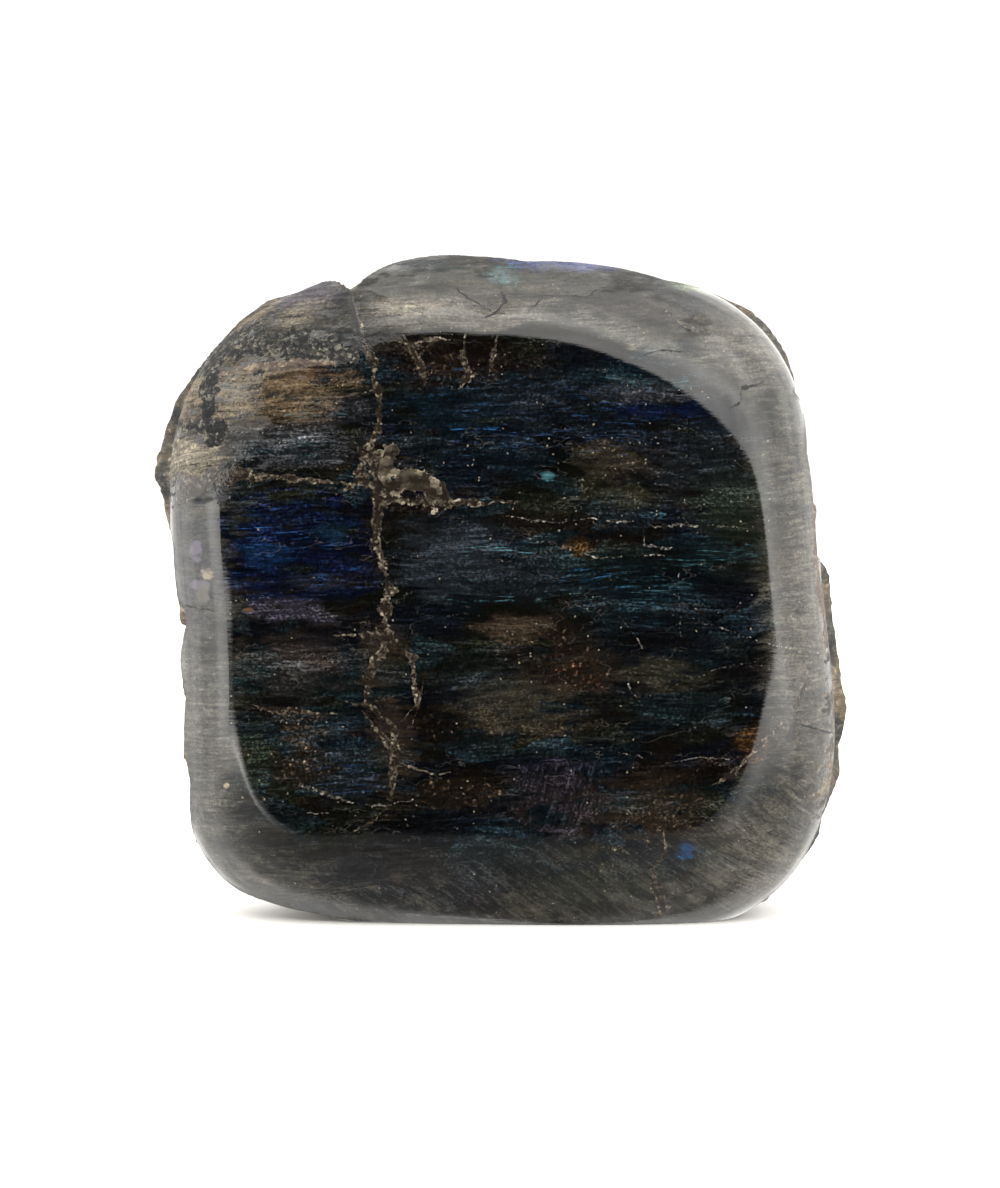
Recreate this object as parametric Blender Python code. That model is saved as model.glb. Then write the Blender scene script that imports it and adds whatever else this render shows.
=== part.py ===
"""Rough labradorite chunk with one ground and polished face, standing on a flat ground base.

Run it with: blender --background --python part.py
Metres, +Z up. The polished face looks along -Y, and the natural break makes the sides and the back.
The origin is on the base plane, below the middle of the stone's box.
"""

import bmesh
import bpy
import mathutils
import numpy as np

MM = 0.001

# The middle of the stone, which the outline and the dome are laid out around.
MIDDLE_HEIGHT = 59.5 * MM

# The broken outline seen from the front, as (x, z) in millimetres, clockwise from the base.
# It dips below the base plane, where the grinding takes it off.
OUTLINE = (
    (-14.0, -2.0), (-20.5, 0.0), (-25.0, 0.7), (-35.2, 1.9), (-42.6, 3.6), (-48.0, 5.3),
    (-51.0, 7.3), (-53.5, 10.6), (-56.0, 13.4), (-56.0, 25.3), (-57.3, 34.3), (-56.8, 40.6),
    (-58.2, 46.9), (-56.6, 53.5), (-56.6, 56.3), (-58.4, 57.8), (-59.2, 67.6), (-61.6, 75.7),
    (-63.6, 81.0), (-63.8, 84.9), (-62.6, 88.6), (-59.4, 94.2), (-50.6, 104.8), (-47.3, 108.4),
    (-42.2, 112.1), (-36.3, 113.4), (-32.3, 115.6), (-29.1, 115.2), (-26.3, 112.9), (-25.1, 115.1),
    (-22.1, 117.3), (-17.9, 119.4), (-12.0, 120.2), (-5.0, 119.7), (4.4, 118.6), (10.5, 118.7),
    (22.1, 117.4), (29.4, 115.3), (36.8, 114.0), (45.6, 110.1), (49.4, 106.6), (51.7, 102.8),
    (53.5, 97.1), (52.2, 95.9), (54.4, 93.6), (54.7, 84.7), (56.1, 73.9), (56.8, 66.4),
    (59.7, 63.0), (59.9, 57.7), (60.8, 53.5), (62.5, 43.3), (63.5, 39.0), (61.9, 31.4),
    (62.0, 25.6), (58.4, 18.2), (57.8, 15.0), (53.7, 8.5), (50.0, 4.8), (45.4, 1.3),
    (41.5, -1.5), (30.0, -2.5), (0.0, -2.5),
)

# Where the ground rim leaves the outline, as (side, low z, high z, how far inside it) in millimetres.
# It is inside the outline where crust stands out past it, and outside it where the corners are broken off.
RIM_LOBES = (
    (1, 56.0, 66.0, 3.2), (1, 31.0, 57.0, 4.2), (1, 17.0, 28.0, 2.4), (-1, 69.0, 97.0, 3.6),
    (-1, -2.0, 27.0, -3.2), (1, -2.0, 18.0, -2.0),
)

# The ground dome: its front is nearly flat, and its shoulders roll over to the rim.
DOME_DEPTH = 26.5 * MM
SHOULDER_ROLL = 4.0
RIM_SMOOTHNESS = 9.0
RIM_MARGIN = 0.5 * MM

# How far forward the polish ends, how far that line wanders, and how steeply the crust stands out there.
RIM_DEPTH = -8.0 * MM
RIM_WANDER = 2.5 * MM
WANDER_LENGTH = 15.0 * MM
CRUST_FLARE = 2.0

# The broken back: its depth behind the middle, its lean, and how the sides draw in towards it above
# the foot, which stays deep enough to stand on.
BACK_DEPTH = 23.2 * MM
BACK_LEAN = 0.08
BACK_WAVES = 2.2 * MM
WAVE_LENGTH = 30.0 * MM
SIDE_TAPER = 9.0 * MM
TAPER_ROLL = 2.2
SIDE_HOLLOWS = 4.5 * MM
HOLLOW_LENGTH = 24.0 * MM
NOTCH_LENGTH = 9.0 * MM
FOOT_HEIGHT = 26.0 * MM

# Large faces that the break has left, as (a point on the face, the direction that it looks in), in
# millimetres from the stone's middle.
BREAK_FACES = (
    ((-41.0, 16.0, 26.0), (-0.62, 0.72, 0.30)),
    ((37.0, 17.0, 33.0), (0.50, 0.74, 0.45)),
    ((50.0, 16.0, -14.0), (0.78, 0.62, -0.08)),
    ((-46.0, 15.0, -30.0), (-0.66, 0.66, -0.34)),
    ((-2.0, 20.0, 44.0), (-0.15, 0.80, 0.58)),
    ((14.0, 23.5, -51.0), (0.20, 0.80, -0.56)),
    ((-20.0, 24.5, 6.0), (-0.16, 0.98, 0.05)),
)

# Shell-shaped hollows where flakes came away, as (centre, radius), in millimetres from the stone's middle.
FLAKE_HOLLOWS = (
    ((-26.0, 44.0, 2.0), 23.0),
    ((27.0, 45.0, 11.0), 24.0),
    ((68.0, 16.0, 25.0), 17.0),
    ((-70.0, 16.0, -4.0), 15.0),
    ((12.0, 20.0, 70.0), 17.0),
    ((-6.0, 43.0, -41.0), 22.0),
    ((45.0, 37.0, -38.0), 18.0),
)

# The cleavages that the break steps along, as (direction, step height, waviness, share that is stepped).
CLEAVAGES = (
    ((0.14, 0.95, 0.27), 3.6 * MM, 28.0 * MM, 0.7),
    ((0.95, -0.10, -0.22), 4.4 * MM, 38.0 * MM, 0.5),
    ((-0.10, -0.25, 0.96), 5.6 * MM, 33.0 * MM, 0.35),
)
STEP_SHARPNESS = 3.5
STEP_UNEVENNESS, UNEVENNESS_RATE = 0.35, 1.7
STEP_WANDER = 0.5
STEPPED_FROM, STEPPED_BY = 0.1, 0.7
CRAG_SIZE = 7.0 * MM
CRAG_HEIGHT = 0.7 * MM
BREAK_EASE = 3.0 * MM

# The inner block that the rays to the surface start from, and the outer block that they pass through.
CORE_HALF_SIZE = (34.0 * MM, 3.0 * MM, 33.0 * MM)
BLOCK_HALF_SIZE = (64.0 * MM, 27.0 * MM, 62.0 * MM)
BLOCK_CELLS = (96, 46, 92)
REACH = 60.0 * MM
HALVINGS = 22

FACES_KEPT = 9400
GRINDING_DEPTH = 8.0 * MM
NOISE_CELLS = 32
NOISE_SEED = 7
NOISE_OFFSET = 11.3
NOISE_LACUNARITY = 2.1
NOISE_TURN = np.array(mathutils.Euler((0.7, 0.5, 0.9)).to_matrix())
DIRECTIONS = 720


def clear_scene():
    """Removes every object of the startup scene."""
    for obj in list(bpy.data.objects):
        bpy.data.objects.remove(obj, do_unlink=True)


def unit(direction):
    """The direction with a length of 1."""
    return np.array(direction) / np.linalg.norm(direction)


def lattice_noise(points, cell, octaves=2):
    """Smooth noise, mostly from -1 to 1, at points of shape (n, 3), with features of about one cell."""
    table = np.random.default_rng(NOISE_SEED).uniform(-1.0, 1.0, (NOISE_CELLS,) * 3)
    total, strength, scale = np.zeros(len(points)), 1.0, 1.0 / cell
    for octave in range(octaves):
        place = points @ NOISE_TURN * scale + NOISE_OFFSET * (octave + 1)
        low = np.floor(place).astype(int)
        share = place - low
        share = share * share * (3.0 - 2.0 * share)
        for corner in np.ndindex(2, 2, 2):
            weight = np.prod(np.where(corner, share, 1.0 - share), axis=1)
            cells = (low + corner) % NOISE_CELLS
            total += strength * weight * table[cells[:, 0], cells[:, 1], cells[:, 2]]
        strength *= 0.5
        scale *= NOISE_LACUNARITY
    return total


def smooth_step(value, low, high):
    """0 below low, 1 above high, and a smooth rise between them."""
    share = np.clip((value - low) / (high - low), 0.0, 1.0)
    return share * share * (3.0 - 2.0 * share)


def outline_radius(angles):
    """Distance from the stone's middle to the broken outline, in each direction."""
    corners = np.array(OUTLINE) * MM - (0.0, MIDDLE_HEIGHT)
    directions = np.arctan2(corners[:, 1], corners[:, 0])
    return np.interp(angles, directions, np.hypot(corners[:, 0], corners[:, 1]), period=2.0 * np.pi)


def smoothed(angles, around, radii):
    """The radii given all around the stone, without their short waves, read in each direction."""
    waves = np.fft.rfft(radii)
    waves *= np.exp(-((np.arange(len(waves)) / RIM_SMOOTHNESS) ** 2))
    return np.interp(angles, around, np.fft.irfft(waves, len(around)), period=2.0 * np.pi)


def smooth_outline(angles):
    """Distance from the middle to the outline without its small notches."""
    around = np.arange(DIRECTIONS) * 2.0 * np.pi / DIRECTIONS
    return smoothed(angles, around, outline_radius(around))


def rim_radius(angles):
    """Distance from the middle to the ground rim, which leaves the outline at the lobes."""
    around = np.arange(DIRECTIONS) * 2.0 * np.pi / DIRECTIONS
    radii = outline_radius(around)
    side, height = np.sign(np.cos(around)), MIDDLE_HEIGHT + radii * np.sin(around)
    for lobe_side, low, high, inset in RIM_LOBES:
        share = np.clip((height / MM - low) / (high - low), 0.0, 1.0)
        radii = radii - (side == lobe_side) * inset * MM * np.sin(np.pi * share) ** 0.5
    return smoothed(angles, around, radii) + RIM_MARGIN


def stepped(points, direction, step, waviness, stepped_share):
    """The points moved along a cleavage, so that a surface sampled there breaks into uneven steps."""
    normal = unit(direction)
    along = points @ normal / step + STEP_WANDER * lattice_noise(points, waviness)
    along = along + STEP_UNEVENNESS * np.sin(UNEVENNESS_RATE * along)
    share = along - np.floor(along)
    rise = share**STEP_SHARPNESS / (share**STEP_SHARPNESS + (1.0 - share) ** STEP_SHARPNESS)
    patches = lattice_noise(points + REACH, waviness) + stepped_share
    strength = smooth_step(patches, STEPPED_FROM, STEPPED_BY)
    return points + np.outer((rise - share) * step * strength, normal)


def rim_line(points):
    """The depth at which the polish ends: where the dome meets the outline, or the rim if that is first."""
    angles = np.arctan2(points[:, 2], points[:, 0])
    share = np.clip(outline_radius(angles) / rim_radius(angles), 0.0, 1.0)
    meeting = -DOME_DEPTH * (1.0 - share**SHOULDER_ROLL) ** (1.0 / SHOULDER_ROLL)
    wander = RIM_WANDER * lattice_noise(points * (1.0, 0.0, 1.0), WANDER_LENGTH)
    return np.minimum(meeting, RIM_DEPTH + wander)


def in_dome(points, rim):
    """Whether each point is inside the ground dome, or inside the flare of the crust behind its rim."""
    x, y, z = points.T
    forward = np.clip(-y / DOME_DEPTH, 0.0, 1.0)
    allowed = rim_radius(np.arctan2(z, x)) * (1.0 - forward**SHOULDER_ROLL) ** (1.0 / SHOULDER_ROLL)
    return np.hypot(x, z) < allowed + CRUST_FLARE * np.clip(y - rim, 0.0, None)


def in_break(points, rim):
    """Whether each point is inside the natural break: outline, back, broken faces and flake hollows."""
    behind = points[:, 1] - rim
    ease = smooth_step(behind, 0.0, BREAK_EASE)[:, None]
    place = points
    for cleavage in CLEAVAGES:
        place = place + (stepped(place, *cleavage) - place) * ease
    x, y, z = place.T
    above_foot = smooth_step(z, -MIDDLE_HEIGHT, FOOT_HEIGHT - MIDDLE_HEIGHT)
    depth = np.clip(behind, 0.0, None) / BACK_DEPTH * above_foot
    hollows = SIDE_HOLLOWS * np.clip(depth, 0.0, 1.0) * (1.0 + lattice_noise(place, HOLLOW_LENGTH)) / 2.0
    angles = np.arctan2(z, x)
    plain = smooth_step(behind, 0.0, NOTCH_LENGTH)
    reach = (1.0 - plain) * outline_radius(angles) + plain * smooth_outline(angles)
    inside = np.hypot(x, z) < reach - SIDE_TAPER * depth**TAPER_ROLL - hollows
    back = BACK_DEPTH - BACK_LEAN * z - BACK_WAVES * (1.0 + lattice_noise(place, WAVE_LENGTH)) / 2.0
    inside &= y < back
    for point, direction in BREAK_FACES:
        inside &= (place - np.array(point) * MM) @ unit(direction) < 0.0
    for centre, radius in FLAKE_HOLLOWS:
        inside &= np.linalg.norm(place - np.array(centre) * MM, axis=1) > radius * MM
    return inside


def block_mesh():
    """A closed block of even cells, made from the cube primitive by dividing its edges axis by axis."""
    block = bmesh.new()
    bmesh.ops.create_cube(block, size=2.0)
    for axis, cells in enumerate(BLOCK_CELLS):
        along = []
        for edge in block.edges:
            start, end = (vertex.co for vertex in edge.verts)
            if abs(start[axis] - end[axis]) > 1.0:
                along.append(edge)
        bmesh.ops.subdivide_edges(block, edges=along, cuts=cells - 1, use_grid_fill=True)
    return block


def surface_points(corners):
    """The stone's surface point for each point of the block, found along a ray by halving."""
    core = np.clip(corners, -np.array(CORE_HALF_SIZE), CORE_HALF_SIZE)
    direction = corners - core
    direction /= np.linalg.norm(direction, axis=1)[:, None]
    near, far = np.zeros(len(corners)), np.full(len(corners), REACH)
    for _ in range(HALVINGS):
        middle = (near + far) / 2.0
        points = core + direction * middle[:, None]
        rim = rim_line(points)
        inside = in_dome(points, rim) & in_break(points, rim)
        near, far = np.where(inside, middle, near), np.where(inside, far, middle)
    surface = core + direction * near[:, None]
    rough = smooth_step(surface[:, 1] - rim_line(surface), 0.0, BREAK_EASE)
    crags = CRAG_HEIGHT * rough * (lattice_noise(surface, CRAG_SIZE) - 0.5)
    return surface + direction * crags[:, None] + (0.0, 0.0, MIDDLE_HEIGHT)


def rough_stone():
    """The stone as a mesh object, thinned to the faces that its form needs."""
    block = block_mesh()
    corners = np.array([vertex.co[:] for vertex in block.verts]) * BLOCK_HALF_SIZE
    for vertex, place in zip(block.verts, surface_points(corners)):
        vertex.co = place
    bmesh.ops.recalc_face_normals(block, faces=block.faces)
    bmesh.ops.triangulate(block, faces=block.faces)
    mesh = bpy.data.meshes.new("labradorite_chunk")
    block.to_mesh(mesh)
    block.free()
    stone = bpy.data.objects.new("labradorite_chunk", mesh)
    thin = stone.modifiers.new("thin", "DECIMATE")
    thin.ratio = FACES_KEPT / len(mesh.polygons)
    return stone


def grinding_block():
    """The material below the base plane, as a cutter."""
    bpy.ops.mesh.primitive_cube_add(size=1.0, location=(0.0, 0.0, -GRINDING_DEPTH / 2.0))
    cutter = bpy.context.object
    cutter.name = "grinding_block"
    cutter.scale = (4.0 * BLOCK_HALF_SIZE[0], 4.0 * BLOCK_HALF_SIZE[1], GRINDING_DEPTH)
    cutter.hide_render = True
    cutter.display_type = "WIRE"
    return cutter


def labradorite_material():
    """Dark grey-blue feldspar with a polished front."""
    material = bpy.data.materials.new("labradorite")
    material.use_nodes = True
    shader = material.node_tree.nodes["Principled BSDF"]
    shader.inputs["Base Color"].default_value = (0.055, 0.065, 0.07, 1.0)
    shader.inputs["Roughness"].default_value = 0.35
    shader.inputs["Metallic"].default_value = 0.0
    shader.inputs["IOR"].default_value = 1.56
    material.diffuse_color = (0.055, 0.065, 0.07, 1.0)
    return material


def new_collection(name):
    """A collection of that name in the scene."""
    collection = bpy.data.collections.new(name)
    bpy.context.scene.collection.children.link(collection)
    return collection


def move_to(obj, collection):
    """Links the object to that collection only."""
    for old in list(obj.users_collection):
        old.objects.unlink(obj)
    collection.objects.link(obj)


def main():
    """Builds the stone and grinds its base flat."""
    clear_scene()
    stone = rough_stone()
    stone.data.materials.append(labradorite_material())
    move_to(stone, new_collection("labradorite chunk"))
    cutter = grinding_block()
    move_to(cutter, new_collection("cutters"))
    ground = stone.modifiers.new("ground base", "BOOLEAN")
    ground.operation = "DIFFERENCE"
    ground.solver = "EXACT"
    ground.object = cutter
    stone.data.shade_smooth()
    stone.data.set_sharp_from_angle(angle=0.6)


main()
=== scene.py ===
"""Looks of the rough labradorite chunk: its broken and ground surface, its finish, the light and the camera.

The stone is made here again from the same driving sizes as its solid, with a finer grain, so that the
break and the polished dome show their real surface. Lengths are in millimetres from the middle of the
stone's base, with x to the right, y to the back and z up.
"""

import logging
import math
from dataclasses import dataclass, field
from enum import Enum
from typing import Union

import bmesh
import bpy
import numpy as np
from mathutils import Euler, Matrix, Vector


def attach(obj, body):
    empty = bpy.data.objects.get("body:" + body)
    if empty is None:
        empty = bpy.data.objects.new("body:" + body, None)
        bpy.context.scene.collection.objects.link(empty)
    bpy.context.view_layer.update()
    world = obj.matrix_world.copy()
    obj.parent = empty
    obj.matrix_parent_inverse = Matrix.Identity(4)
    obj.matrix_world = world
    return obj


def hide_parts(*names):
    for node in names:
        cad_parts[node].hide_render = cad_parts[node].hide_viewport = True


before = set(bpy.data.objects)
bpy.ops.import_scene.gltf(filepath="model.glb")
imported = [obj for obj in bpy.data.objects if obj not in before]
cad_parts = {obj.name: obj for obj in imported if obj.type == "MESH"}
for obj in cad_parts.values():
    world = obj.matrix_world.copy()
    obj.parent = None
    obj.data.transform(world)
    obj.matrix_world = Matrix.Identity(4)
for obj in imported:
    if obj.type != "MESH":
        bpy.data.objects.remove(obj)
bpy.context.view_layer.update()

MM = 0.001
LOG = logging.getLogger("labradorite")
# How a seam's width runs out: the share of its length beside each end, and the fade in mm.
SEAM_END = 0.004
SEAM_FADE = 0.6
# What keeps the uneven part of a patch's reach above 0, so that it has a square root.
SPREAD = 1.6
# The reach of a patch, in squares of its half size, at which nothing is left of it.
PATCH_END = 1.6

Socket = bpy.types.NodeSocket
Feed = Union[Socket, float, tuple]
Points = np.ndarray
Line = tuple[tuple[float, float], ...]


class Tone(Enum):
    """The stone's colours, as red, green and blue on a 0 to 255 screen scale."""

    BLACK = (7, 8, 10)
    NIGHT = (14, 18, 26)
    OLIVE_BLACK = (25, 27, 20)
    BROWN_BLACK = (30, 23, 18)
    NAVY = (13, 21, 50)
    INK = (19, 27, 38)
    DEEP_TEAL = (24, 40, 47)
    TEAL = (22, 46, 56)
    SLATE = (42, 48, 54)
    STEEL = (66, 68, 72)
    MOSS = (38, 45, 36)
    OLIVE = (56, 55, 43)
    UMBER = (50, 41, 31)
    RUST = (66, 43, 29)
    AMBER = (124, 88, 46)
    BRONZE = (104, 88, 68)
    TAN = (156, 138, 112)
    SAND = (182, 170, 148)
    STONE_GREY = (106, 103, 96)
    MATRIX = (64, 59, 57)
    VIOLET = (46, 42, 54)
    LILAC = (108, 102, 120)
    AZURE = (52, 116, 184)
    CYAN = (112, 182, 196)
    BONE = (208, 202, 192)
    ASH = (132, 127, 115)
    # A pale tone that the shoulders take as painted sheen, for part of the light tent's reflection.
    PAINTED_SHEEN = (92, 88, 78)
    EARTH = (76, 64, 52)
    DRAB = (66, 63, 50)
    IRIS = (74, 86, 142)
    GLAZE = (132, 152, 112)

    def linear(self) -> tuple[float, float, float, float]:
        """Works out the colour in linear light.

        Returns:
            Red, green and blue from 0 to 1, and full opacity.
        """
        channels = []
        for value in self.value:
            share = value / 255.0
            low = share / 12.92
            high = ((share + 0.055) / 1.055) ** 2.4
            channels.append(low if share <= 0.04045 else high)
        return (channels[0], channels[1], channels[2], 1.0)


class Fill(Enum):
    """What a seam in the stone is filled with."""

    SHARD = "shards of feldspar"
    CRUMB = "crumbly tan feldspar"
    PALE = "thin healed crack"
    DARK = "open dark crack"
    MATRIX = "dull granular matrix"
    IRON = "iron stain"


class Run(Enum):
    """Which way a seam runs, so that it has one place for each step along it."""

    UP = "z"
    ACROSS = "x"


@dataclass(frozen=True)
class Patch:
    """A soft-edged oval of one tone on the ground face, that goes on into the stone.

    It has its middle, its half sizes, its tone, the share of it in the middle, the share of its
    size over which it fades out, and its turn in degrees.
    """

    x: float
    z: float
    half_x: float
    half_z: float
    tone: Tone
    strength: float
    feather: float
    tilt: float = 0.0


@dataclass(frozen=True)
class Seam:
    """A seam through the stone.

    It has what fills it, which way it runs, its points as (x, z, half width) from one end to the
    other, and the share of those widths that it keeps.
    """

    fill: Fill
    run: Run
    points: tuple[tuple[float, float, float], ...]
    width_share: float = 1.0


# --------------------------------------------------------------------------------------------------
# The stone's form
# --------------------------------------------------------------------------------------------------


@dataclass
class StoneForm:
    """The broken stone with its ground dome and base, found as a surface around its middle."""

    middle_height: float = 59.5
    outline: Line = (
        (-14.0, -2.0), (-20.5, 0.0), (-25.0, 0.7), (-35.2, 1.9), (-42.6, 3.6), (-48.0, 5.3),
        (-51.0, 7.3), (-53.5, 10.6), (-56.0, 13.4), (-56.0, 25.3), (-57.3, 34.3), (-56.8, 40.6),
        (-58.2, 46.9), (-56.6, 53.5), (-56.6, 56.3), (-58.4, 57.8), (-59.2, 67.6), (-61.6, 75.7),
        (-63.6, 81.0), (-63.8, 84.9), (-62.6, 88.6), (-59.4, 94.2), (-50.6, 104.8), (-47.3, 108.4),
        (-42.2, 112.1), (-36.3, 113.4), (-32.3, 115.6), (-29.1, 115.2), (-26.3, 112.9),
        (-25.1, 115.1), (-22.1, 117.3), (-17.9, 119.4), (-12.0, 120.2), (-5.0, 119.7),
        (4.4, 118.6), (10.5, 118.7), (22.1, 117.4), (29.4, 115.3), (36.8, 114.0), (45.6, 110.1),
        (49.4, 106.6), (51.7, 102.8), (53.5, 97.1), (52.2, 95.9), (54.4, 93.6), (54.7, 84.7),
        (56.1, 73.9), (56.8, 66.4), (59.7, 63.0), (59.9, 57.7), (60.8, 53.5), (62.5, 43.3),
        (63.5, 39.0), (61.9, 31.4), (62.0, 25.6), (58.4, 18.2), (57.8, 15.0), (53.7, 8.5),
        (50.0, 4.8), (45.4, 1.3), (41.5, -1.5), (30.0, -2.5), (0.0, -2.5),
    )
    # Side, low z, high z, and how far the ground rim lies inside the outline there.
    rim_lobes: tuple[tuple[float, float, float, float], ...] = (
        (1, 56.0, 66.0, 3.2), (1, 31.0, 57.0, 4.2), (1, 17.0, 28.0, 2.4), (-1, 69.0, 97.0, 3.6),
        (-1, -2.0, 27.0, -3.2), (1, -2.0, 18.0, -2.0),
    )
    dome_depth: float = 26.5
    shoulder_roll: float = 4.0
    rim_smoothness: float = 9.0
    rim_margin: float = 0.5
    rim_depth: float = -8.0
    rim_wander: float = 2.5
    wander_length: float = 15.0
    crust_flare: float = 2.0
    back_depth: float = 23.2
    back_lean: float = 0.08
    back_waves: float = 2.2
    wave_length: float = 30.0
    side_taper: float = 9.0
    taper_roll: float = 2.2
    side_hollows: float = 4.5
    hollow_length: float = 24.0
    notch_length: float = 9.0
    foot_height: float = 26.0
    # A point on each large broken face, and the direction that it looks in.
    break_faces: tuple[tuple[tuple[float, float, float], tuple[float, float, float]], ...] = (
        ((-41.0, 16.0, 26.0), (-0.62, 0.72, 0.30)),
        ((37.0, 17.0, 33.0), (0.50, 0.74, 0.45)),
        ((50.0, 16.0, -14.0), (0.78, 0.62, -0.08)),
        ((-46.0, 15.0, -30.0), (-0.66, 0.66, -0.34)),
        ((-2.0, 20.0, 44.0), (-0.15, 0.80, 0.58)),
        ((14.0, 23.5, -51.0), (0.20, 0.80, -0.56)),
        ((-20.0, 24.5, 6.0), (-0.16, 0.98, 0.05)),
    )
    # The centre and the radius of each hollow that a flake left.
    flake_hollows: tuple[tuple[tuple[float, float, float], float], ...] = (
        ((-26.0, 44.0, 2.0), 23.0),
        ((27.0, 45.0, 11.0), 24.0),
        ((68.0, 16.0, 25.0), 17.0),
        ((-70.0, 16.0, -4.0), 15.0),
        ((12.0, 20.0, 70.0), 17.0),
        ((-6.0, 43.0, -41.0), 22.0),
        ((45.0, 37.0, -38.0), 18.0),
    )
    # Direction, step height, waviness and stepped share of each cleavage.
    cleavages: tuple[tuple[tuple[float, float, float], float, float, float], ...] = (
        ((0.14, 0.95, 0.27), 3.6, 28.0, 0.7),
        ((0.95, -0.10, -0.22), 4.4, 38.0, 0.5),
        ((-0.10, -0.25, 0.96), 5.6, 33.0, 0.35),
    )
    step_sharpness: float = 3.5
    step_unevenness: float = 0.35
    unevenness_rate: float = 1.7
    step_wander: float = 0.5
    stepped_from: float = 0.1
    stepped_by: float = 0.7
    break_ease: float = 3.0
    # Size and height of each layer of crags on the break.
    crags: tuple[tuple[float, float], ...] = ((7.0, 0.7), (2.6, 0.34), (1.3, 0.16))
    crag_sink: float = 0.5
    core_half_size: tuple[float, float, float] = (34.0, 3.0, 33.0)
    block_half_size: tuple[float, float, float] = (64.0, 27.0, 62.0)
    block_cells: tuple[int, int, int] = (150, 78, 144)
    quick_cells: tuple[int, int, int] = (90, 46, 86)
    reach: float = 60.0
    halvings: int = 18
    highest_spike: float = 0.45
    sharp_angle: float = 0.65
    noise_cells: int = 32
    noise_seed: int = 7
    noise_offset: float = 11.3
    noise_lacunarity: float = 2.1
    noise_turn: tuple[float, float, float] = (0.7, 0.5, 0.9)
    directions: int = 720
    rim_reach: float = 8.0
    # Values that are worked out once from the sizes above.
    table: Points = field(init=False, repr=False)
    turn: Points = field(init=False, repr=False)
    around: Points = field(init=False, repr=False)
    outline_radii: Points = field(init=False, repr=False)
    rim_radii: Points = field(init=False, repr=False)
    plain_radii: Points = field(init=False, repr=False)

    def __post_init__(self) -> None:
        """Works out the noise table and the radii all around the stone."""
        random = np.random.default_rng(self.noise_seed)
        self.table = random.uniform(-1.0, 1.0, (self.noise_cells,) * 3)
        self.turn = np.array(Euler(self.noise_turn).to_matrix())
        self.around = np.arange(self.directions) * 2.0 * np.pi / self.directions
        corners = np.array(self.outline) - (0.0, self.middle_height)
        ways = np.arctan2(corners[:, 1], corners[:, 0])
        lengths = np.hypot(corners[:, 0], corners[:, 1])
        self.outline_radii = np.interp(self.around, ways, lengths, period=2.0 * np.pi)
        self.plain_radii = self.without_short_waves(self.outline_radii)
        self.rim_radii = self.without_short_waves(self.lobed(self.outline_radii)) + self.rim_margin

    def without_short_waves(self, radii: Points) -> Points:
        """Smooths radii that are given all around the stone.

        Args:
            radii: One radius for each direction.

        Returns:
            The radii without their short waves.
        """
        waves = np.fft.rfft(radii)
        waves *= np.exp(-((np.arange(len(waves)) / self.rim_smoothness) ** 2))
        return np.fft.irfft(waves, len(radii))

    def lobed(self, radii: Points) -> Points:
        """Draws each of the rim's lobes in or out.

        Args:
            radii: One radius for each direction.

        Returns:
            The changed radii.
        """
        side = np.sign(np.cos(self.around))
        height = self.middle_height + radii * np.sin(self.around)
        for lobe_side, low, high, inset in self.rim_lobes:
            share = np.clip((height - low) / (high - low), 0.0, 1.0)
            radii = radii - (side == lobe_side) * inset * np.sin(np.pi * share) ** 0.5
        return radii

    def read(self, angles: Points, radii: Points) -> Points:
        """The radius in each direction, from those given all around the stone."""
        return np.interp(angles, self.around, radii, period=2.0 * np.pi)

    def noise(self, points: Points, cell: float, octaves: int = 2) -> Points:
        """Smooth noise, mostly from -1 to 1.

        Args:
            points: Places of shape (n, 3).
            cell: Size of its features.
            octaves: How many layers it has.

        Returns:
            One value for each place.
        """
        total, strength, scale = np.zeros(len(points)), 1.0, 1.0 / cell
        for octave in range(octaves):
            place = points @ self.turn * scale + self.noise_offset * (octave + 1)
            low = np.floor(place).astype(int)
            share = place - low
            share = share * share * (3.0 - 2.0 * share)
            for corner in np.ndindex(2, 2, 2):
                weight = np.prod(np.where(corner, share, 1.0 - share), axis=1)
                cells = (low + corner) % self.noise_cells
                total += strength * weight * self.table[cells[:, 0], cells[:, 1], cells[:, 2]]
            strength *= 0.5
            scale *= self.noise_lacunarity
        return total

    def stepped(self, points: Points, cleavage: tuple) -> Points:
        """Moves points along a cleavage, so that a surface sampled there breaks into uneven steps.

        Args:
            points: Places of shape (n, 3).
            cleavage: Its direction, step height, waviness and stepped share.

        Returns:
            The moved points.
        """
        direction, step, waviness, stepped_share = cleavage
        normal = unit(direction)
        along = points @ normal / step + self.step_wander * self.noise(points, waviness)
        along = along + self.step_unevenness * np.sin(self.unevenness_rate * along)
        share = along - np.floor(along)
        risen = share**self.step_sharpness
        rise = risen / (risen + (1.0 - share) ** self.step_sharpness)
        patches = self.noise(points + self.reach, waviness) + stepped_share
        strength = smooth_step(patches, self.stepped_from, self.stepped_by)
        return points + np.outer((rise - share) * step * strength, normal)

    def rim_line(self, points: Points) -> Points:
        """Finds the depth at which the polish ends.

        Args:
            points: Places of shape (n, 3).

        Returns:
            The y of the rim line beside each point.
        """
        angles = np.arctan2(points[:, 2], points[:, 0])
        outline = self.read(angles, self.outline_radii)
        share = np.clip(outline / self.read(angles, self.rim_radii), 0.0, 1.0)
        meeting = -self.dome_depth * (1.0 - share**self.shoulder_roll) ** (1.0 / self.shoulder_roll)
        wander = self.rim_wander * self.noise(points * (1.0, 0.0, 1.0), self.wander_length)
        return np.minimum(meeting, self.rim_depth + wander)

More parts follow.
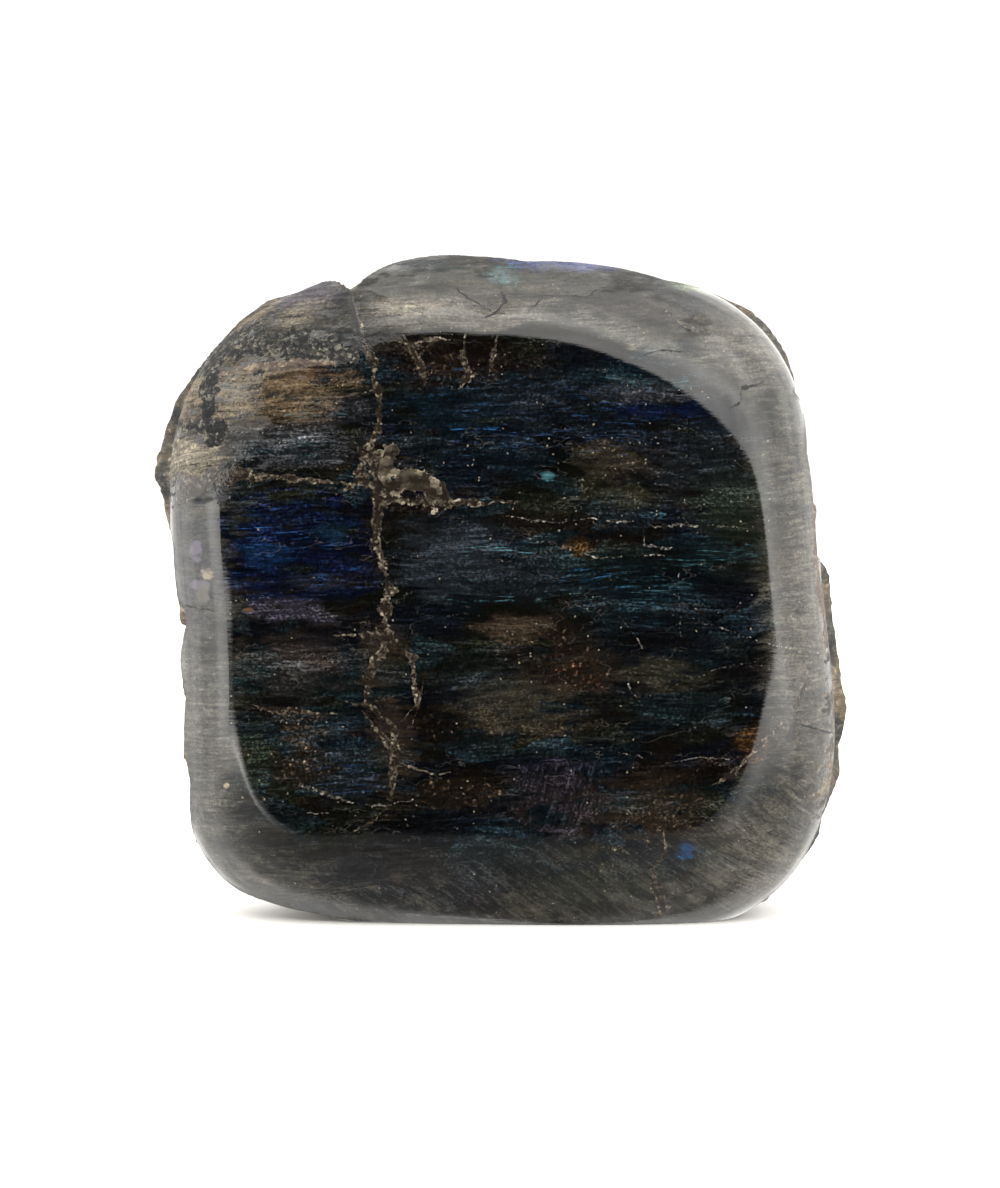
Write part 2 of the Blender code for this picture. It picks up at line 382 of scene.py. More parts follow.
    def in_dome(self, points: Points, rim: Points) -> Points:
        """Tests points against the ground dome, and the crust that flares behind it.

        Args:
            points: Places of shape (n, 3).
            rim: The y of the rim line beside each of them.

        Returns:
            Whether each point is inside.
        """
        x, y, z = points.T
        forward = np.clip(-y / self.dome_depth, 0.0, 1.0)
        roll = (1.0 - forward**self.shoulder_roll) ** (1.0 / self.shoulder_roll)
        allowed = self.read(np.arctan2(z, x), self.rim_radii) * roll
        return np.hypot(x, z) < allowed + self.crust_flare * np.clip(y - rim, 0.0, None)

    def in_break(self, points: Points, rim: Points) -> Points:
        """Tests points against the natural break: outline, back, broken faces and hollows.

        Args:
            points: Places of shape (n, 3).
            rim: The y of the rim line beside each of them.

        Returns:
            Whether each point is inside.
        """
        behind = points[:, 1] - rim
        ease = smooth_step(behind, 0.0, self.break_ease)[:, None]
        place = points
        for cleavage in self.cleavages:
            place = place + (self.stepped(place, cleavage) - place) * ease
        x, y, z = place.T
        above_foot = smooth_step(z, -self.middle_height, self.foot_height - self.middle_height)
        depth = np.clip(behind, 0.0, None) / self.back_depth * above_foot
        hollow = (1.0 + self.noise(place, self.hollow_length)) / 2.0
        hollows = self.side_hollows * np.clip(depth, 0.0, 1.0) * hollow
        angles = np.arctan2(z, x)
        plain = smooth_step(behind, 0.0, self.notch_length)
        reach = self.read(angles, self.outline_radii) * (1.0 - plain)
        reach += self.read(angles, self.plain_radii) * plain
        inside = np.hypot(x, z) < reach - self.side_taper * depth**self.taper_roll - hollows
        waves = self.back_waves * (1.0 + self.noise(place, self.wave_length)) / 2.0
        inside &= y < self.back_depth - self.back_lean * z - waves
        for point, direction in self.break_faces:
            inside &= (place - np.array(point)) @ unit(direction) < 0.0
        for centre, radius in self.flake_hollows:
            inside &= np.linalg.norm(place - np.array(centre), axis=1) > radius
        return inside

    def surface(self, corners: Points) -> tuple[Points, Points]:
        """Finds the stone's surface along a ray to each point of the block.

        Args:
            corners: Points on the block around the stone, of shape (n, 3).

        Returns:
            The surface points, and how far each lies ahead of the rim line, where the polish ends.
        """
        core = np.clip(corners, -np.array(self.core_half_size), self.core_half_size)
        direction = corners - core
        direction /= np.linalg.norm(direction, axis=1)[:, None]
        near, far = np.zeros(len(corners)), np.full(len(corners), self.reach)
        for _ in range(self.halvings):
            middle = (near + far) / 2.0
            points = core + direction * middle[:, None]
            rim = self.rim_line(points)
            inside = self.in_dome(points, rim) & self.in_break(points, rim)
            near, far = np.where(inside, middle, near), np.where(inside, far, middle)
        places = core + direction * near[:, None]
        ahead = self.rim_line(places) - places[:, 1]
        rough = smooth_step(-ahead, 0.0, self.break_ease)
        height = np.zeros(len(places))
        for size, crag in self.crags:
            height += crag * (self.noise(places, size) - self.crag_sink)
        places = places + direction * (rough * height)[:, None]
        return places + (0.0, 0.0, self.middle_height), np.clip(ahead, -self.rim_reach, self.rim_reach)

    def block(self) -> tuple[Points, Points]:
        """Lays a lattice over a block that reaches from -1 to 1.

        Returns:
            The points, and the indices of the corners of the quads between them, which face out.
        """
        cells = self.block_cells
        faces = []
        for axis in range(3):
            first, second = (axis + 1) % 3, (axis + 2) % 3
            across, along = np.meshgrid(range(cells[first]), range(cells[second]), indexing="ij")
            for side in (0, cells[axis]):
                corners = []
                for more_across, more_along in ((0, 0), (1, 0), (1, 1), (0, 1)):
                    place = np.full(across.shape + (3,), side)
                    place[..., first] = across + more_across
                    place[..., second] = along + more_along
                    corners.append(place.reshape(-1, 3))
                faces.append(np.stack(corners if side else corners[::-1], axis=1))
        quads = np.concatenate(faces)
        places, index = np.unique(quads.reshape(-1, 3), axis=0, return_inverse=True)
        return places / cells * 2.0 - 1.0, index.reshape(-1, 4)

    def build(self) -> bpy.types.Object:
        """Makes the stone as a mesh object with its base ground flat.

        Returns:
            The stone, with the point values "ahead" (of the rim line, in mm) and "ridge" (how far it
            stands out from its surroundings, in mm).
        """
        block, quads = self.block()
        places, ahead = self.surface(block * self.block_half_size)
        places = eased(places, quads, self.highest_spike)
        mesh = bpy.data.meshes.new("labradorite_stone")
        mesh.from_pydata((places * MM).tolist(), [], quads.tolist())
        put_values(mesh, "ahead", ahead)
        put_values(mesh, "ridge", ridges(places, quads))
        cut = bmesh.new()
        cut.from_mesh(mesh)
        every = list(cut.verts) + list(cut.edges) + list(cut.faces)
        bmesh.ops.bisect_plane(cut, geom=every, plane_co=(0, 0, 0), plane_no=(0, 0, -1), clear_outer=True)
        rim = [edge for edge in cut.edges if edge.is_boundary]
        bmesh.ops.contextual_create(cut, geom=rim)
        bmesh.ops.triangulate(cut, faces=[face for face in cut.faces if len(face.verts) > 4])
        cut.to_mesh(mesh)
        cut.free()
        mesh.shade_smooth()
        mesh.set_sharp_from_angle(angle=self.sharp_angle)
        stone = bpy.data.objects.new("stone", mesh)
        bpy.context.scene.collection.objects.link(stone)
        return stone


def unit(direction: tuple[float, float, float]) -> Points:
    """The direction with a length of 1."""
    return np.array(direction) / np.linalg.norm(direction)


def smooth_step(value: Points, low: float, high: float) -> Points:
    """0 below low, 1 above high, and a smooth rise between them."""
    share = np.clip((value - low) / (high - low), 0.0, 1.0)
    return share * share * (3.0 - 2.0 * share)


def put_values(mesh: bpy.types.Mesh, name: str, values: Points) -> None:
    """Keeps one value a point on the mesh, for its material to read."""
    layer = mesh.attributes.new(name, "FLOAT", "POINT")
    layer.data.foreach_set("value", values.astype(np.float32))


def surroundings(places: Points, quads: Points) -> Points:
    """Finds the middle of each point's neighbours along the edges of the faces.

    Args:
        places: The points, of shape (n, 3).
        quads: Indices of the four corners of each face.

    Returns:
        One place for each point.
    """
    total, count = np.zeros_like(places), np.zeros(len(places))
    for corner in range(4):
        np.add.at(total, quads[:, corner], places[quads[:, (corner + 1) % 4]])
        np.add.at(count, quads[:, corner], 1.0)
    return total / count[:, None]


def eased(places: Points, quads: Points, highest: float, rounds: int = 5) -> Points:
    """Draws points that stick out like a saw's teeth back to their neighbours.

    Args:
        places: The points, of shape (n, 3).
        quads: Indices of the four corners of each face.
        highest: How far a point may stay away from the middle of its neighbours.
        rounds: How often the points are drawn back.

    Returns:
        The eased points.
    """
    for _ in range(rounds):
        gap = places - surroundings(places, quads)
        length = np.maximum(np.linalg.norm(gap, axis=1), highest)
        places = places - gap * (1.0 - highest / length)[:, None]
    return places


def ridges(places: Points, quads: Points, rounds: int = 4) -> Points:
    """How far each point stands out from its surroundings.

    Args:
        places: The points, of shape (n, 3).
        quads: Indices of the four corners of each face.
        rounds: How many rings of neighbours the surroundings take in.

    Returns:
        One height for each point, above 0 on an edge and below 0 in a groove.
    """
    diagonals = places[quads[:, 2]] - places[quads[:, 0]], places[quads[:, 3]] - places[quads[:, 1]]
    facing = np.cross(diagonals[0], diagonals[1])
    normals = np.zeros_like(places)
    for corner in range(4):
        np.add.at(normals, quads[:, corner], facing)
    normals /= np.linalg.norm(normals, axis=1)[:, None]
    around = places
    for _ in range(rounds):
        around = (around + surroundings(around, quads)) / 2.0
    return np.einsum("ij,ij->i", places - around, normals)


# --------------------------------------------------------------------------------------------------
# Node work
# --------------------------------------------------------------------------------------------------


@dataclass
class Graph:
    """A node tree, with short calls that add a node, feed it and give back what it puts out."""

    tree: bpy.types.NodeTree

    def node(self, kind: str, feeds: dict, **settings: object) -> bpy.types.Node:
        """Adds a node.

        Args:
            kind: Its type name.
            feeds: A socket or a value for each input, by name or number.
            settings: Its other settings.

        Returns:
            The node.
        """
        made = self.tree.nodes.new(kind)
        for name, value in settings.items():
            setattr(made, name, value)
        for key, feed in feeds.items():
            if isinstance(feed, Socket):
                self.tree.links.new(feed, made.inputs[key])
            else:
                made.inputs[key].default_value = feed
        return made

    def math(self, operation: str, *values: Feed) -> Socket:
        """One sum on numbers."""
        return self.node("ShaderNodeMath", dict(enumerate(values)), operation=operation).outputs[0]

    def vector(self, operation: str, *vectors: Feed) -> Socket:
        """One sum on vectors."""
        made = self.node("ShaderNodeVectorMath", dict(enumerate(vectors)), operation=operation)
        return made.outputs["Value" if operation == "DOT_PRODUCT" else "Vector"]

    def times(self, vector: Feed, factor: Feed) -> Socket:
        """The vector times a number."""
        feeds = {0: vector, "Scale": factor}
        return self.node("ShaderNodeVectorMath", feeds, operation="SCALE").outputs[0]

    def share(self, value: Feed, low: Feed, high: Feed) -> Socket:
        """How far the value has come from low to high, as a share from 0 to 1."""
        feeds = {"Value": value, "From Min": low, "From Max": high}
        return self.node("ShaderNodeMapRange", feeds).outputs[0]

    def step(self, value: Feed, low: Feed, high: Feed, bottom: Feed = 0.0, top: Feed = 1.0) -> Socket:
        """A smooth rise from bottom to top while the value goes from low to high."""
        feeds = {"Value": value, "From Min": low, "From Max": high, "To Min": bottom, "To Max": top}
        return self.node("ShaderNodeMapRange", feeds, interpolation_type="SMOOTHSTEP").outputs[0]

    def blend(self, share: Feed, first: Feed, second: Feed) -> Socket:
        """The first number with a share of the second one in it."""
        return self.node("ShaderNodeMix", {0: share, 2: first, 3: second}).outputs[0]

    def mix(self, share: Feed, first: Feed, second: Feed, blend: str = "MIX") -> Socket:
        """The first colour with a share of the second one over it."""
        feeds = {0: share, 6: first, 7: second}
        return self.node("ShaderNodeMix", feeds, data_type="RGBA", blend_type=blend).outputs[2]

    def scaled(self, vector: Feed, size: tuple, origin: Feed = (0.0, 0.0, 0.0)) -> Socket:
        """The vector measured from an origin, in units of the size."""
        feeds = {"Vector": vector, "Location": origin, "Scale": size}
        return self.node("ShaderNodeMapping", feeds, vector_type="TEXTURE").outputs[0]

    def noise(self, vector: Feed, detail: Feed, roughness: float) -> Socket:
        """Noise with features of about one unit of the vector."""
        feeds = {"Vector": vector, "Scale": 1.0, "Detail": detail, "Roughness": roughness}
        return self.node("ShaderNodeTexNoise", feeds).outputs[0]

    def curve(self, share: Feed, points: list[tuple[float, float]], handle: str) -> Socket:
        """Reads a share off a line through points.

        Args:
            share: Where to read, from 0 to 1.
            points: What the line passes through, from 0 to 1 both ways.
            handle: "VECTOR" for straight pieces, and "AUTO" for a smooth line.

        Returns:
            The value there.
        """
        made = self.node("ShaderNodeFloatCurve", {"Value": share})
        line = made.mapping.curves[0]
        while len(line.points) < len(points):
            line.points.new(0.5, 0.5)
        for point, place in zip(line.points, sorted(points)):
            point.location = place
            point.handle_type = handle
        made.mapping.update()
        return made.outputs[0]

    def group(self, tree: bpy.types.NodeTree, feeds: dict) -> bpy.types.NodeOutputs:
        """Places a node group, and gives back all that it puts out."""
        return self.node("ShaderNodeGroup", feeds, node_tree=tree).outputs


def new_group(
    name: str, takes: dict[str, str], gives: dict[str, str]
) -> tuple[Graph, bpy.types.NodeOutputs, bpy.types.NodeInputs]:
    """Starts a shader node group.

    Args:
        name: Its name.
        takes: The socket type of each input, by name.
        gives: The socket type of each output, by name.

    Returns:
        Its graph, what comes into it, and what it has to put out.
    """
    tree = bpy.data.node_groups.new(name, "ShaderNodeTree")
    for socket, kind in takes.items():
        tree.interface.new_socket(socket, in_out="INPUT", socket_type=kind)
    for socket, kind in gives.items():
        tree.interface.new_socket(socket, in_out="OUTPUT", socket_type=kind)
    graph = Graph(tree)
    return graph, tree.nodes.new("NodeGroupInput").outputs, tree.nodes.new("NodeGroupOutput").inputs


NUMBER, VECTOR = "NodeSocketFloat", "NodeSocketVector"


def wander_group() -> bpy.types.NodeTree:
    """Makes the group that moves a place about by noise.

    Returns:
        Its node tree.
    """
    takes = {"Vector": VECTOR, "Size": NUMBER, "Far": NUMBER, "Detail": NUMBER}
    graph, given, out = new_group("wander", takes, {"Vector": VECTOR})
    scale = graph.math("DIVIDE", 1.0, given["Size"])
    feeds = {"Vector": given["Vector"], "Scale": scale, "Detail": given["Detail"], "Roughness": 0.6}
    offset = graph.node("ShaderNodeTexNoise", feeds).outputs["Color"]
    offset = graph.vector("SUBTRACT", offset, (0.5, 0.5, 0.5))
    offset = graph.times(offset, given["Far"])
    graph.tree.links.new(graph.vector("ADD", offset, given["Vector"]), out["Vector"])
    return graph.tree


def cloud_group() -> bpy.types.NodeTree:
    """Makes the group for plain noise with features of a given size.

    Returns:
        Its node tree.
    """
    takes = {"Vector": VECTOR, "Size": VECTOR, "Detail": NUMBER}
    graph, given, out = new_group("cloud", takes, {"Value": NUMBER})
    place = graph.vector("DIVIDE", given["Vector"], given["Size"])
    graph.tree.links.new(graph.noise(place, given["Detail"], 0.6), out["Value"])
    return graph.tree


def lamella_group() -> bpy.types.NodeTree:
    """Makes the group for layered feldspar, in blocks that shift its layers against each other.

    Fine, Broad, Thin and Grain are plain noise around a half, and Block is one value for each block.

    Returns:
        Its node tree.
    """
    takes = {"Vector": VECTOR, "Ragged": VECTOR, "Angle": NUMBER}
    gives = {name: NUMBER for name in ("Fine", "Broad", "Thin", "Grain", "Block")}
    graph, given, out = new_group("lamellae", takes, gives)
    block_size, block_shift = (11.0, 9.0, 4.6), (7.0, 4.0, 2.2)
    feeds = {"Vector": graph.scaled(given["Ragged"], block_size), "Scale": 1.0}
    cells = graph.node("ShaderNodeTexVoronoi", feeds).outputs["Color"]
    feeds = {"Vector": given["Vector"], "Angle": given["Angle"]}
    turned = graph.node("ShaderNodeVectorRotate", feeds, rotation_type="Y_AXIS").outputs[0]
    place = graph.vector("MULTIPLY_ADD", cells, block_shift, turned)
    # Where each layer is read, the size of its features, its detail and its roughness.
    layers = {
        "Fine": (place, (7.5, 5.0, 0.6), 3.0, 0.7),
        "Broad": (place, (24.0, 14.0, 3.6), 3.0, 0.6),
        "Thin": (place, (6.5, 4.5, 0.42), 2.0, 0.72),
        "Grain": (given["Ragged"], (0.55, 0.55, 0.4), 2.0, 0.6),
    }
    for name, (vector, size, detail, roughness) in layers.items():
        graph.tree.links.new(graph.noise(graph.scaled(vector, size), detail, roughness), out[name])
    block = graph.node("ShaderNodeSeparateColor", {"Color": cells}).outputs[0]
    graph.tree.links.new(block, out["Block"])
    return graph.tree


def crack_group() -> bpy.types.NodeTree:
    """Makes the group for hairline cracks: where noise passes through a half, kept in places.

    Returns:
        Its node tree.
    """
    takes = {"Vector": VECTOR, "Size": VECTOR, "Width": NUMBER, "Amount": NUMBER}
    graph, given, out = new_group("cracks", takes, {"Mask": NUMBER})
    place = graph.vector("DIVIDE", given["Vector"], given["Size"])
    value = graph.noise(place, 4.0, 0.62)
    line = graph.step(graph.math("ABSOLUTE", graph.math("SUBTRACT", value, 0.5)), given["Width"], 0.0)
    where = graph.noise(graph.scaled(place, (0.7, 0.7, 0.9), (3.0, 7.0, 1.0)), 1.0, 0.6)
    low = graph.math("SUBTRACT", 0.7, graph.math("MULTIPLY", given["Amount"], 0.3))
    where = graph.step(where, low, graph.math("ADD", low, 0.08))
    graph.tree.links.new(graph.math("MULTIPLY", line, where), out["Mask"])
    return graph.tree


def fleck_group() -> bpy.types.NodeTree:
    """Makes the group for small scattered flecks, each in its own cell.

    Returns:
        Its node tree.
    """
    takes = {"Vector": VECTOR, "Spacing": NUMBER, "Size": NUMBER, "Share": NUMBER}
    graph, given, out = new_group("flecks", takes, {"Mask": NUMBER})
    scale = graph.math("DIVIDE", 1.0, given["Spacing"])
    cells = graph.node("ShaderNodeTexVoronoi", {"Vector": given["Vector"], "Scale": scale}).outputs
    picked = graph.node("ShaderNodeSeparateColor", {"Color": cells["Color"]}).outputs[0]
    chosen = graph.math("LESS_THAN", picked, given["Share"])
    size = graph.math("DIVIDE", given["Size"], given["Spacing"])
    near = graph.step(cells["Distance"], size, graph.math("MULTIPLY", size, 0.4))
    graph.tree.links.new(graph.math("MULTIPLY", near, chosen), out["Mask"])
    return graph.tree


def crumb_group() -> bpy.types.NodeTree:
    """Makes the group for crumbly grains: mostly dark, with a few bright bits.

    Returns:
        Its node tree.
    """
    takes = {"Vector": VECTOR, "Size": NUMBER, "Detail": NUMBER}
    graph, given, out = new_group("crumb", takes, {"Tone": NUMBER})
    place = graph.times(given["Vector"], graph.math("DIVIDE", 1.0, given["Size"]))
    feeds = {"Vector": place, "Scale": 0.7, "Detail": given["Detail"], "Roughness": 0.65}
    wobble = graph.node("ShaderNodeTexNoise", feeds).outputs
    moved = graph.vector("MULTIPLY_ADD", wobble["Color"], (2.4, 2.4, 2.4), place)
    cells = graph.node("ShaderNodeTexVoronoi", {"Vector": moved, "Scale": 1.0}).outputs
    picked = graph.node("ShaderNodeSeparateColor", {"Color": cells["Color"]}).outputs[1]
    soft = graph.step(wobble[0], 0.3, 0.7, 0.25, 1.5)
    grain = graph.math("MULTIPLY", graph.math("POWER", picked, 2.6), soft)
    grain = graph.math("MULTIPLY", grain, graph.step(cells["Distance"], 0.9, 0.25, 0.25, 1.0))
    graph.tree.links.new(graph.math("ADD", grain, 0.03), out["Tone"])
    return graph.tree


# --------------------------------------------------------------------------------------------------
# The stone's markings
# --------------------------------------------------------------------------------------------------

# Layered areas, which the lamellae run through.
LAYERED = (
    # Above the gold seam, left of the upright one.
    Patch(-40.0, 95.0, 15.0, 6.5, Tone.BRONZE, 0.9, 0.6),
    Patch(-29.5, 92.8, 7.5, 3.2, Tone.STEEL, 0.6, 0.7),
    Patch(-38.0, 86.0, 14.0, 4.6, Tone.STEEL, 0.85, 0.6),
    # Below the gold seam.
    Patch(-37.0, 67.5, 14.5, 10.5, Tone.NAVY, 0.95, 0.45),
    Patch(-37.0, 56.9, 8.0, 2.0, Tone.LILAC, 0.55, 0.6),
    Patch(-36.0, 47.5, 12.0, 6.0, Tone.MATRIX, 0.4, 0.7),
    Patch(-42.5, 31.5, 5.0, 7.0, Tone.MOSS, 0.85, 0.8),
    Patch(-28.5, 27.5, 8.0, 4.5, Tone.SLATE, 0.8, 0.7),
    # Right of the upright seam.
    Patch(12.0, 92.0, 33.0, 9.0, Tone.INK, 0.8, 0.8),
    Patch(28.0, 50.0, 22.0, 12.0, Tone.NIGHT, 0.8, 0.8),
    Patch(-16.5, 93.5, 4.5, 2.0, Tone.DEEP_TEAL, 0.7, 0.7),
    Patch(-8.5, 80.5, 14.0, 3.4, Tone.INK, 0.85, 0.6),
    Patch(-8.0, 67.0, 12.5, 7.5, Tone.SLATE, 0.85, 0.6),
    Patch(6.0, 95.0, 9.0, 4.0, Tone.SLATE, 0.6, 0.8),
    Patch(24.0, 97.5, 13.0, 2.4, Tone.DEEP_TEAL, 0.8, 0.7),
    Patch(27.0, 94.2, 10.0, 1.3, Tone.STEEL, 0.8, 0.6),
    Patch(30.0, 92.0, 9.5, 1.6, Tone.NAVY, 0.95, 0.5),
    Patch(36.0, 82.0, 11.0, 9.0, Tone.SLATE, 0.75, 0.8),
    Patch(40.0, 76.0, 9.0, 5.0, Tone.MOSS, 0.7, 0.8),
    Patch(22.0, 61.0, 15.0, 7.0, Tone.TEAL, 0.35, 0.8),
    Patch(38.5, 67.0, 9.0, 2.4, Tone.TEAL, 0.7, 0.6),
    Patch(3.0, 62.0, 9.0, 5.0, Tone.SLATE, 0.65, 0.8),
    Patch(0.0, 43.0, 13.0, 4.5, Tone.SLATE, 0.7, 0.7),
    Patch(34.0, 22.0, 6.0, 3.0, Tone.MOSS, 0.85, 0.6, 20.0),
    Patch(10.6, 24.0, 8.0, 7.0, Tone.VIOLET, 0.8, 0.6),
    Patch(-16.0, 18.7, 7.5, 1.9, Tone.BLACK, 0.9, 0.4),
    # The foot.
    Patch(-20.0, 8.5, 26.0, 8.0, Tone.SLATE, 0.5, 0.7),
)

# Pale areas, where the layers hardly show.
CALM = (
    # On the face.
    Patch(1.8, 54.0, 5.8, 2.7, Tone.EARTH, 0.9, 0.7),
    Patch(19.5, 83.5, 8.0, 3.2, Tone.DRAB, 0.5, 0.8),
    Patch(21.5, 76.8, 6.0, 3.0, Tone.DRAB, 0.5, 0.8),
    Patch(13.0, 46.5, 9.0, 5.0, Tone.UMBER, 0.45, 0.8),
    Patch(29.5, 45.5, 7.5, 3.6, Tone.DRAB, 0.5, 0.8),
    Patch(3.0, 39.5, 12.0, 5.5, Tone.DRAB, 0.75, 0.8),
    Patch(-37.0, 46.5, 10.0, 5.5, Tone.MATRIX, 0.3, 0.8),
    Patch(-19.0, 33.0, 4.5, 9.0, Tone.EARTH, 0.4, 0.9),
    Patch(-20.5, 47.5, 5.0, 7.0, Tone.EARTH, 0.35, 0.9),
    Patch(-41.5, 66.5, 5.0, 2.4, Tone.AZURE, 0.12, 0.9),
    Patch(-29.5, 70.5, 4.0, 2.0, Tone.TEAL, 0.5, 0.9),
    Patch(-33.0, 62.0, 6.0, 1.6, Tone.STEEL, 0.3, 0.9),
    Patch(20.0, 22.0, 20.0, 6.0, Tone.EARTH, 0.3, 0.9),
    Patch(-9.5, 65.5, 9.5, 7.0, Tone.SLATE, 0.6, 0.8),
    Patch(-8.0, 91.0, 10.0, 4.0, Tone.TEAL, 0.25, 0.8),
    Patch(29.0, 91.6, 9.0, 1.4, Tone.NAVY, 0.45, 0.8, 2.0),
    Patch(24.0, 96.0, 10.0, 1.4, Tone.STEEL, 0.5, 0.6, 3.0),
    Patch(42.0, 74.0, 10.0, 12.0, Tone.MOSS, 0.4, 0.9),
    # The foot.
    Patch(-18.0, 7.0, 30.0, 8.0, Tone.MATRIX, 0.45, 0.8),
    Patch(-27.0, 9.5, 8.0, 3.5, Tone.INK, 0.6, 0.8),
    Patch(17.0, 7.5, 16.0, 8.0, Tone.OLIVE, 0.8, 0.8),
    Patch(8.0, 12.0, 7.0, 3.0, Tone.SLATE, 0.5, 0.8),
    Patch(22.0, 11.0, 5.0, 3.0, Tone.STEEL, 0.6, 0.8),
    # The top left corner, and a brown mark on the top shoulder.
    Patch(-0.5, 109.8, 5.0, 2.6, Tone.UMBER, 0.7, 0.7, -20.0),
    Patch(-40.0, 96.0, 13.0, 6.0, Tone.BRONZE, 0.9, 0.6),
    Patch(-33.0, 98.8, 8.0, 1.8, Tone.RUST, 0.6, 0.7),
    Patch(-58.0, 95.5, 7.0, 7.5, Tone.TAN, 1.0, 0.5),
    Patch(-58.5, 84.0, 9.0, 5.5, Tone.SAND, 0.8, 0.5),
    Patch(-45.5, 110.5, 9.0, 3.4, Tone.TAN, 0.9, 0.6, 35.0),
    Patch(-34.0, 112.5, 7.0, 3.0, Tone.LILAC, 0.6, 0.7, 10.0),
    # The shoulders: pale tones that are partly their own colour and partly painted reflection of the light
    # tent in their polish.
    Patch(49.0, 14.0, 13.0, 13.0, Tone.ASH, 0.5, 0.7),
    Patch(-55.0, 30.0, 7.5, 27.0, Tone.STONE_GREY, 0.8, 0.6),
    Patch(-55.5, 64.0, 7.0, 12.0, Tone.STEEL, 0.9, 0.5),
    Patch(54.0, 62.0, 8.0, 36.0, Tone.ASH, 0.55, 0.7),
    Patch(-9.0, 109.0, 20.0, 3.0, Tone.ASH, 0.8, 0.7),
    Patch(22.0, 105.5, 13.0, 2.4, Tone.ASH, 0.7, 0.7, -22.0),
    Patch(-8.0, 115.5, 20.0, 3.0, Tone.OLIVE, 0.9, 0.7),
    Patch(24.0, 111.0, 16.0, 3.6, Tone.MATRIX, 0.8, 0.7, -14.0),
    Patch(44.0, 104.0, 10.0, 9.0, Tone.ASH, 0.6, 0.7, -30.0),
    # Tinted places along the top edge.
    Patch(10.0, 118.4, 11.0, 1.9, Tone.IRIS, 1.0, 0.6, -4.0),
    Patch(33.5, 114.4, 6.0, 1.3, Tone.GLAZE, 0.9, 0.6, -16.0),
    Patch(0.5, 116.0, 3.0, 2.2, Tone.CYAN, 0.25, 0.9),
    Patch(-13.0, 117.6, 7.0, 1.4, Tone.DEEP_TEAL, 0.8, 0.6),
    # Darker and sandier places on the shoulders.
    Patch(20.5, 114.0, 8.0, 2.4, Tone.OLIVE_BLACK, 0.85, 0.8, -12.0),
    Patch(38.5, 109.4, 4.5, 2.6, Tone.OLIVE_BLACK, 0.8, 0.8, -40.0),
    Patch(25.0, 106.4, 6.0, 1.8, Tone.OLIVE_BLACK, 0.5, 0.8, -24.0),
    Patch(47.2, 69.0, 3.6, 6.5, Tone.OLIVE_BLACK, 0.8, 0.8),
    Patch(39.5, 92.5, 4.0, 5.0, Tone.INK, 0.6, 0.9),
    Patch(-36.0, 109.3, 6.0, 2.4, Tone.SAND, 0.55, 0.8, 20.0),
    Patch(-48.5, 94.5, 4.5, 5.0, Tone.SAND, 0.5, 0.8),
    Patch(-28.0, 112.6, 2.4, 2.4, Tone.OLIVE_BLACK, 0.5, 0.8),
    Patch(-17.0, 110.6, 7.0, 2.2, Tone.SAND, 0.4, 0.8),
)

# Grainy areas, which break the layers up.
GRAINY = (
    Patch(-7.5, 100.0, 15.0, 4.8, Tone.BROWN_BLACK, 0.85, 0.5),
    Patch(-15.5, 103.8, 6.0, 1.7, Tone.UMBER, 0.9, 0.7),
    Patch(-9.5, 100.5, 4.0, 3.0, Tone.UMBER, 0.6, 0.6),
    Patch(10.0, 86.0, 5.0, 4.5, Tone.BLACK, 0.95, 0.4),
    Patch(19.5, 82.6, 8.0, 3.6, Tone.UMBER, 0.8, 0.7, -8.0),
    Patch(15.8, 78.6, 4.4, 2.6, Tone.OLIVE, 0.9, 0.7),
    Patch(23.4, 77.4, 2.8, 3.0, Tone.OLIVE, 0.9, 0.7),
    Patch(13.5, 68.4, 3.4, 2.0, Tone.AMBER, 0.3, 0.7),
    Patch(20.5, 69.4, 6.0, 2.4, Tone.BROWN_BLACK, 0.9, 0.6),
    Patch(4.5, 53.6, 10.0, 3.4, Tone.UMBER, 0.9, 0.6),
    Patch(10.5, 46.5, 8.5, 5.5, Tone.BROWN_BLACK, 0.95, 0.6, -8.0),
    Patch(12.5, 45.5, 4.5, 2.6, Tone.RUST, 0.4, 0.7),
    Patch(29.0, 45.5, 7.5, 3.0, Tone.OLIVE, 0.45, 0.7),
    Patch(-10.7, 36.5, 7.0, 4.0, Tone.BROWN_BLACK, 0.95, 0.6),
    Patch(-35.5, 36.0, 7.0, 3.2, Tone.UMBER, 0.9, 0.7),
    Patch(-35.0, 29.0, 6.0, 3.8, Tone.UMBER, 0.8, 0.6),
    Patch(44.4, 32.5, 2.8, 3.8, Tone.AMBER, 0.35, 0.8, -30.0),
    Patch(36.0, 28.0, 9.0, 3.2, Tone.BROWN_BLACK, 0.85, 0.7, 20.0),
    Patch(27.0, 20.5, 10.0, 5.5, Tone.UMBER, 0.7, 0.7),
    Patch(-8.0, 24.5, 7.5, 3.4, Tone.UMBER, 0.9, 0.7),
    Patch(4.0, 37.5, 13.0, 4.4, Tone.UMBER, 0.85, 0.8),
    Patch(19.0, 12.0, 5.0, 4.0, Tone.OLIVE, 0.9, 0.8),
)

